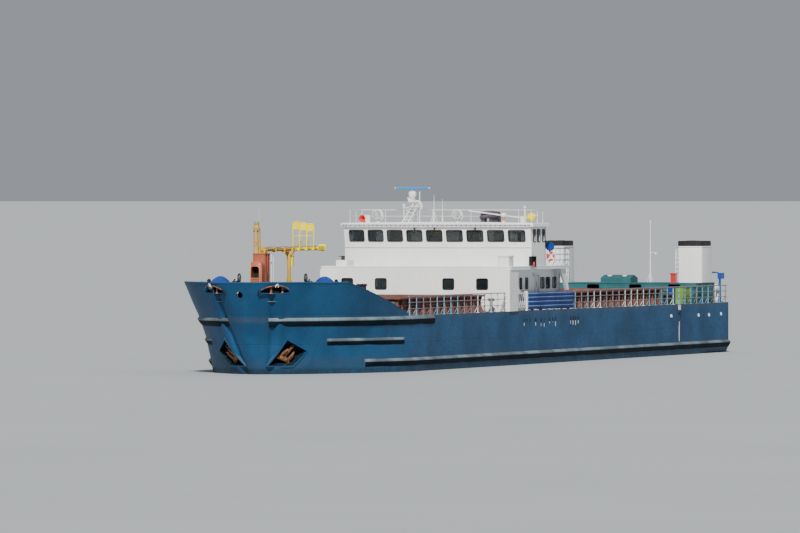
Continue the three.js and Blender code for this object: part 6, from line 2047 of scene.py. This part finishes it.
# The rudder's section is a long drop: sqrt at the nose and a straight run to a thin tail.
def rudderForm():
    r = rudderSizes
    share = (1 - np.cos(np.linspace(0, np.pi, 13))) / 2
    half = r["thick"] * 1.5 * (np.sqrt(share) - share) * 1.3 + 0.006
    x = r["front"] + (r["back"] - r["front"]) * share
    loop = np.concatenate([np.column_stack([x, half]), np.column_stack([x[::-1], -half[::-1]])[1:-1]])
    loop[:, 1] = np.clip(loop[:, 1], -0.08, 0.08)
    rows = [np.column_stack([loop[:, 0], r["y"] + loop[:, 1] * s, np.full(len(loop), z)])
            for z, s in ((r["bottom"], 0.7), (r["bottom"] + 0.04, 1), (r["top"] - 0.04, 1),
                         (r["top"], 0.7))]
    blade = gridForm(np.stack(rows), wrapColumns=True, capEnds=True)
    stock = lathe([[0.13, -0.56], [0.13, -0.49], [0.09, -0.47], [0.09, -0.365]], (r["x"], r["y"], 0),
                  sides=16)
    plates = blocks([(-39.0, -37.6), (r["y"] - 0.095, r["y"] + 0.095), (-0.53, -0.495)],
                    [(-39.0, -37.6), (r["y"] - 0.095, r["y"] + 0.095), (-1.85, -1.82)])
    return joined(blade, stock, plates)


for side, name in shipSides:
    screw = moved(screwForm(), [-36.5, 2.9, -1.15])
    putPiece("propeller_" + name + "_blades", onSide(screw, side), [bronzePaint],
             nodes=["propeller_" + name],
             body="propeller_" + name + "_body", smooth=40)
    putPiece("rudder_" + name + "_blade", onSide(rudderForm(), side), [hullBlue],
             nodes=["rudder_" + name],
             body="rudder_" + name + "_body", smooth=40)

# Outlets in the ship's sides: scuppers under a lip, each with a pale run mark, and pipes aft.
scupperSpots = [4.83, 4.25, 3.66, 2.43, 1.31, 0.66, -0.47, -1.13, -1.74, -4.93, -5.49, -6.03, -6.6]


def scupperForms():
    holes, marks = [], []
    for i, x in enumerate(scupperSpots):
        ring = softOutline(x - 0.09, x + 0.09, 2.51, 2.73, 0.08)
        # Each scupper opening is filled by a black disc, a painted shade for the hole; the lip round it is
        # black too.
        holes.append(slab(softOutline(x - 0.075, x + 0.075, 2.53, 2.71, 0.07), 1, 5.815, 5.828))
        holes.append(alongPath(atY(5.826)(ring), roundSection(0.016, 6), up=(0, 1, 0), closed=True))
        marks.append(slab([[x - 0.06, 2.5], [x + 0.06, 2.5], [x + 0.035, 2.3 - 0.05 * (i % 3)],
                           [x - 0.03, 2.28 - 0.05 * (i % 3)]], 1, 5.815, 5.824))
    for x, z in ((-27.38, 2.48), (-33.76, 2.45), (-36.24, 2.44), (-39.12, 2.47)):
        marks.append(lathe([[0.11, -0.05], [0.11, 0.05], [0.09, 0.06], [0.075, 0.05], [0.075, -0.03]],
                           (x, hullSizes["half"], z), (0, 1, 0), 18))
        # The pipe mouths are closed by black discs, a painted shade for their bores.
        holes.append(lathe([[0.02, 0.0], [0.02, 0.02], [0.07, 0.02], [0.07, 0.0]],
                           (x, hullSizes["half"], z), (0, 1, 0), 14))
    holes.append(lathe([[0.14, -0.05], [0.14, 0.08], [0.11, 0.09], [0.1, 0.02], [0.02, 0.02]],
                       (-29.3, hullSizes["half"], 2.68), (0, 1, 0), 18))
    marks.append(slab(softOutline(-29.6, -29.03, 2.84, 3.16, 0.03, 3), 1, 5.815, 5.835))
    marks.append(slab([[-29.38, 2.6], [-29.22, 2.6], [-29.2, 1.2], [-29.24, 0.86], [-29.36, 0.86],
                       [-29.36, 1.6]], 1, 5.815, 5.823))
    return painted(joined(*holes), 0), painted(joined(*marks), 1)


putPiece("scuppers", joined(*[bothSides(form) for form in scupperForms()]), [blackAndShadePaint, whiteGear],
         smooth=40)
print("stern and side fittings done")


# The floor lies at height zero and is left open inside the hull, where the holds reach below it; the sun
# stands ahead of the barge on its port side.
studioSizes = {"sunAzimuth": 15, "sunHeight": 37, "sun": 6.2, "sky": 0.36, "open": (-0.165, 2.9, 0.5)}


def floorPaint():
    paint, tree, shader = newPaint("studio_floor")
    soft = speckle(tree, objectPlace(tree), 0.6, 2)
    tree.links.new(mixed(tree, soft, (0.36, 0.39, 0.42), (0.4, 0.43, 0.46)), shader.inputs["Base Color"])
    shader.inputs["Roughness"].default_value = 0.75
    return paint


# The direction at an azimuth and a height, both in degrees.
def aimed(azimuth, height):
    a, e = math.radians(azimuth), math.radians(height)
    return Vector((math.cos(a) * math.cos(e), math.sin(a) * math.cos(e), math.sin(e)))


def studio():
    s = studioSizes
    reach = 6 * 1.6 ** np.arange(15)
    angle = np.arange(48) * np.pi / 24
    rings = np.stack([reach[:, None] * np.cos(angle), reach[:, None] * np.sin(angle), np.zeros((15, 48))],
                     -1)
    middle, long, wide = s["open"]
    inside = np.stack([middle + long * np.sign(np.cos(angle)) * np.abs(np.cos(angle)) ** 0.2,
                       wide * np.sign(np.sin(angle)) * np.abs(np.sin(angle)) ** 0.2, np.zeros(48)], -1)
    points, faces = gridForm(np.concatenate([inside[None], rings]), wrapColumns=True)
    mesh = bpy.data.meshes.new("studio_floor")
    faces = [list(face) for face in faces[0][0]]
    mesh.from_pydata(points.tolist(), [], faces)
    mesh.materials.append(floorPaint())
    floor = bpy.data.objects.new("studio_floor", mesh)
    bpy.context.scene.collection.objects.link(floor)
    world = bpy.data.worlds.new("studio_sky")
    world.use_nodes = True
    world.node_tree.nodes["Background"].inputs[0].default_value = (0.86, 0.92, 1.0, 1)
    world.node_tree.nodes["Background"].inputs[1].default_value = s["sky"]
    bpy.context.scene.world = world
    lamp = bpy.data.lights.new("sun", "SUN")
    lamp.energy, lamp.angle, lamp.color = s["sun"], 0.1, (1, 0.96, 0.9)
    light = bpy.data.objects.new("sun", lamp)
    toward = aimed(s["sunAzimuth"], s["sunHeight"])
    light.rotation_euler = toward.to_track_quat("Z", "Y").to_euler()
    light.location = toward * 20
    bpy.context.scene.collection.objects.link(light)


# The photograph's view: from far off the port bow, low down, through a long lens.
cameraSizes = {"place": (50.557, 15.617, 0.984), "turn": 197.523417, "tilt": -0.438562, "lens": 395.01}


def photoCamera():
    c = cameraSizes
    data = bpy.data.cameras.new("photo_camera")
    data.lens, data.sensor_width = c["lens"], 36
    data.clip_start, data.clip_end = 1, 8000
    camera = bpy.data.objects.new("photo_camera", data)
    toward = aimed(c["turn"], c["tilt"])
    camera.rotation_euler = (-toward).to_track_quat("Z", "Y").to_euler()
    camera.location = c["place"]
    bpy.context.scene.collection.objects.link(camera)
    bpy.context.scene.camera = camera


studio()
photoCamera()
print("studio and camera done")
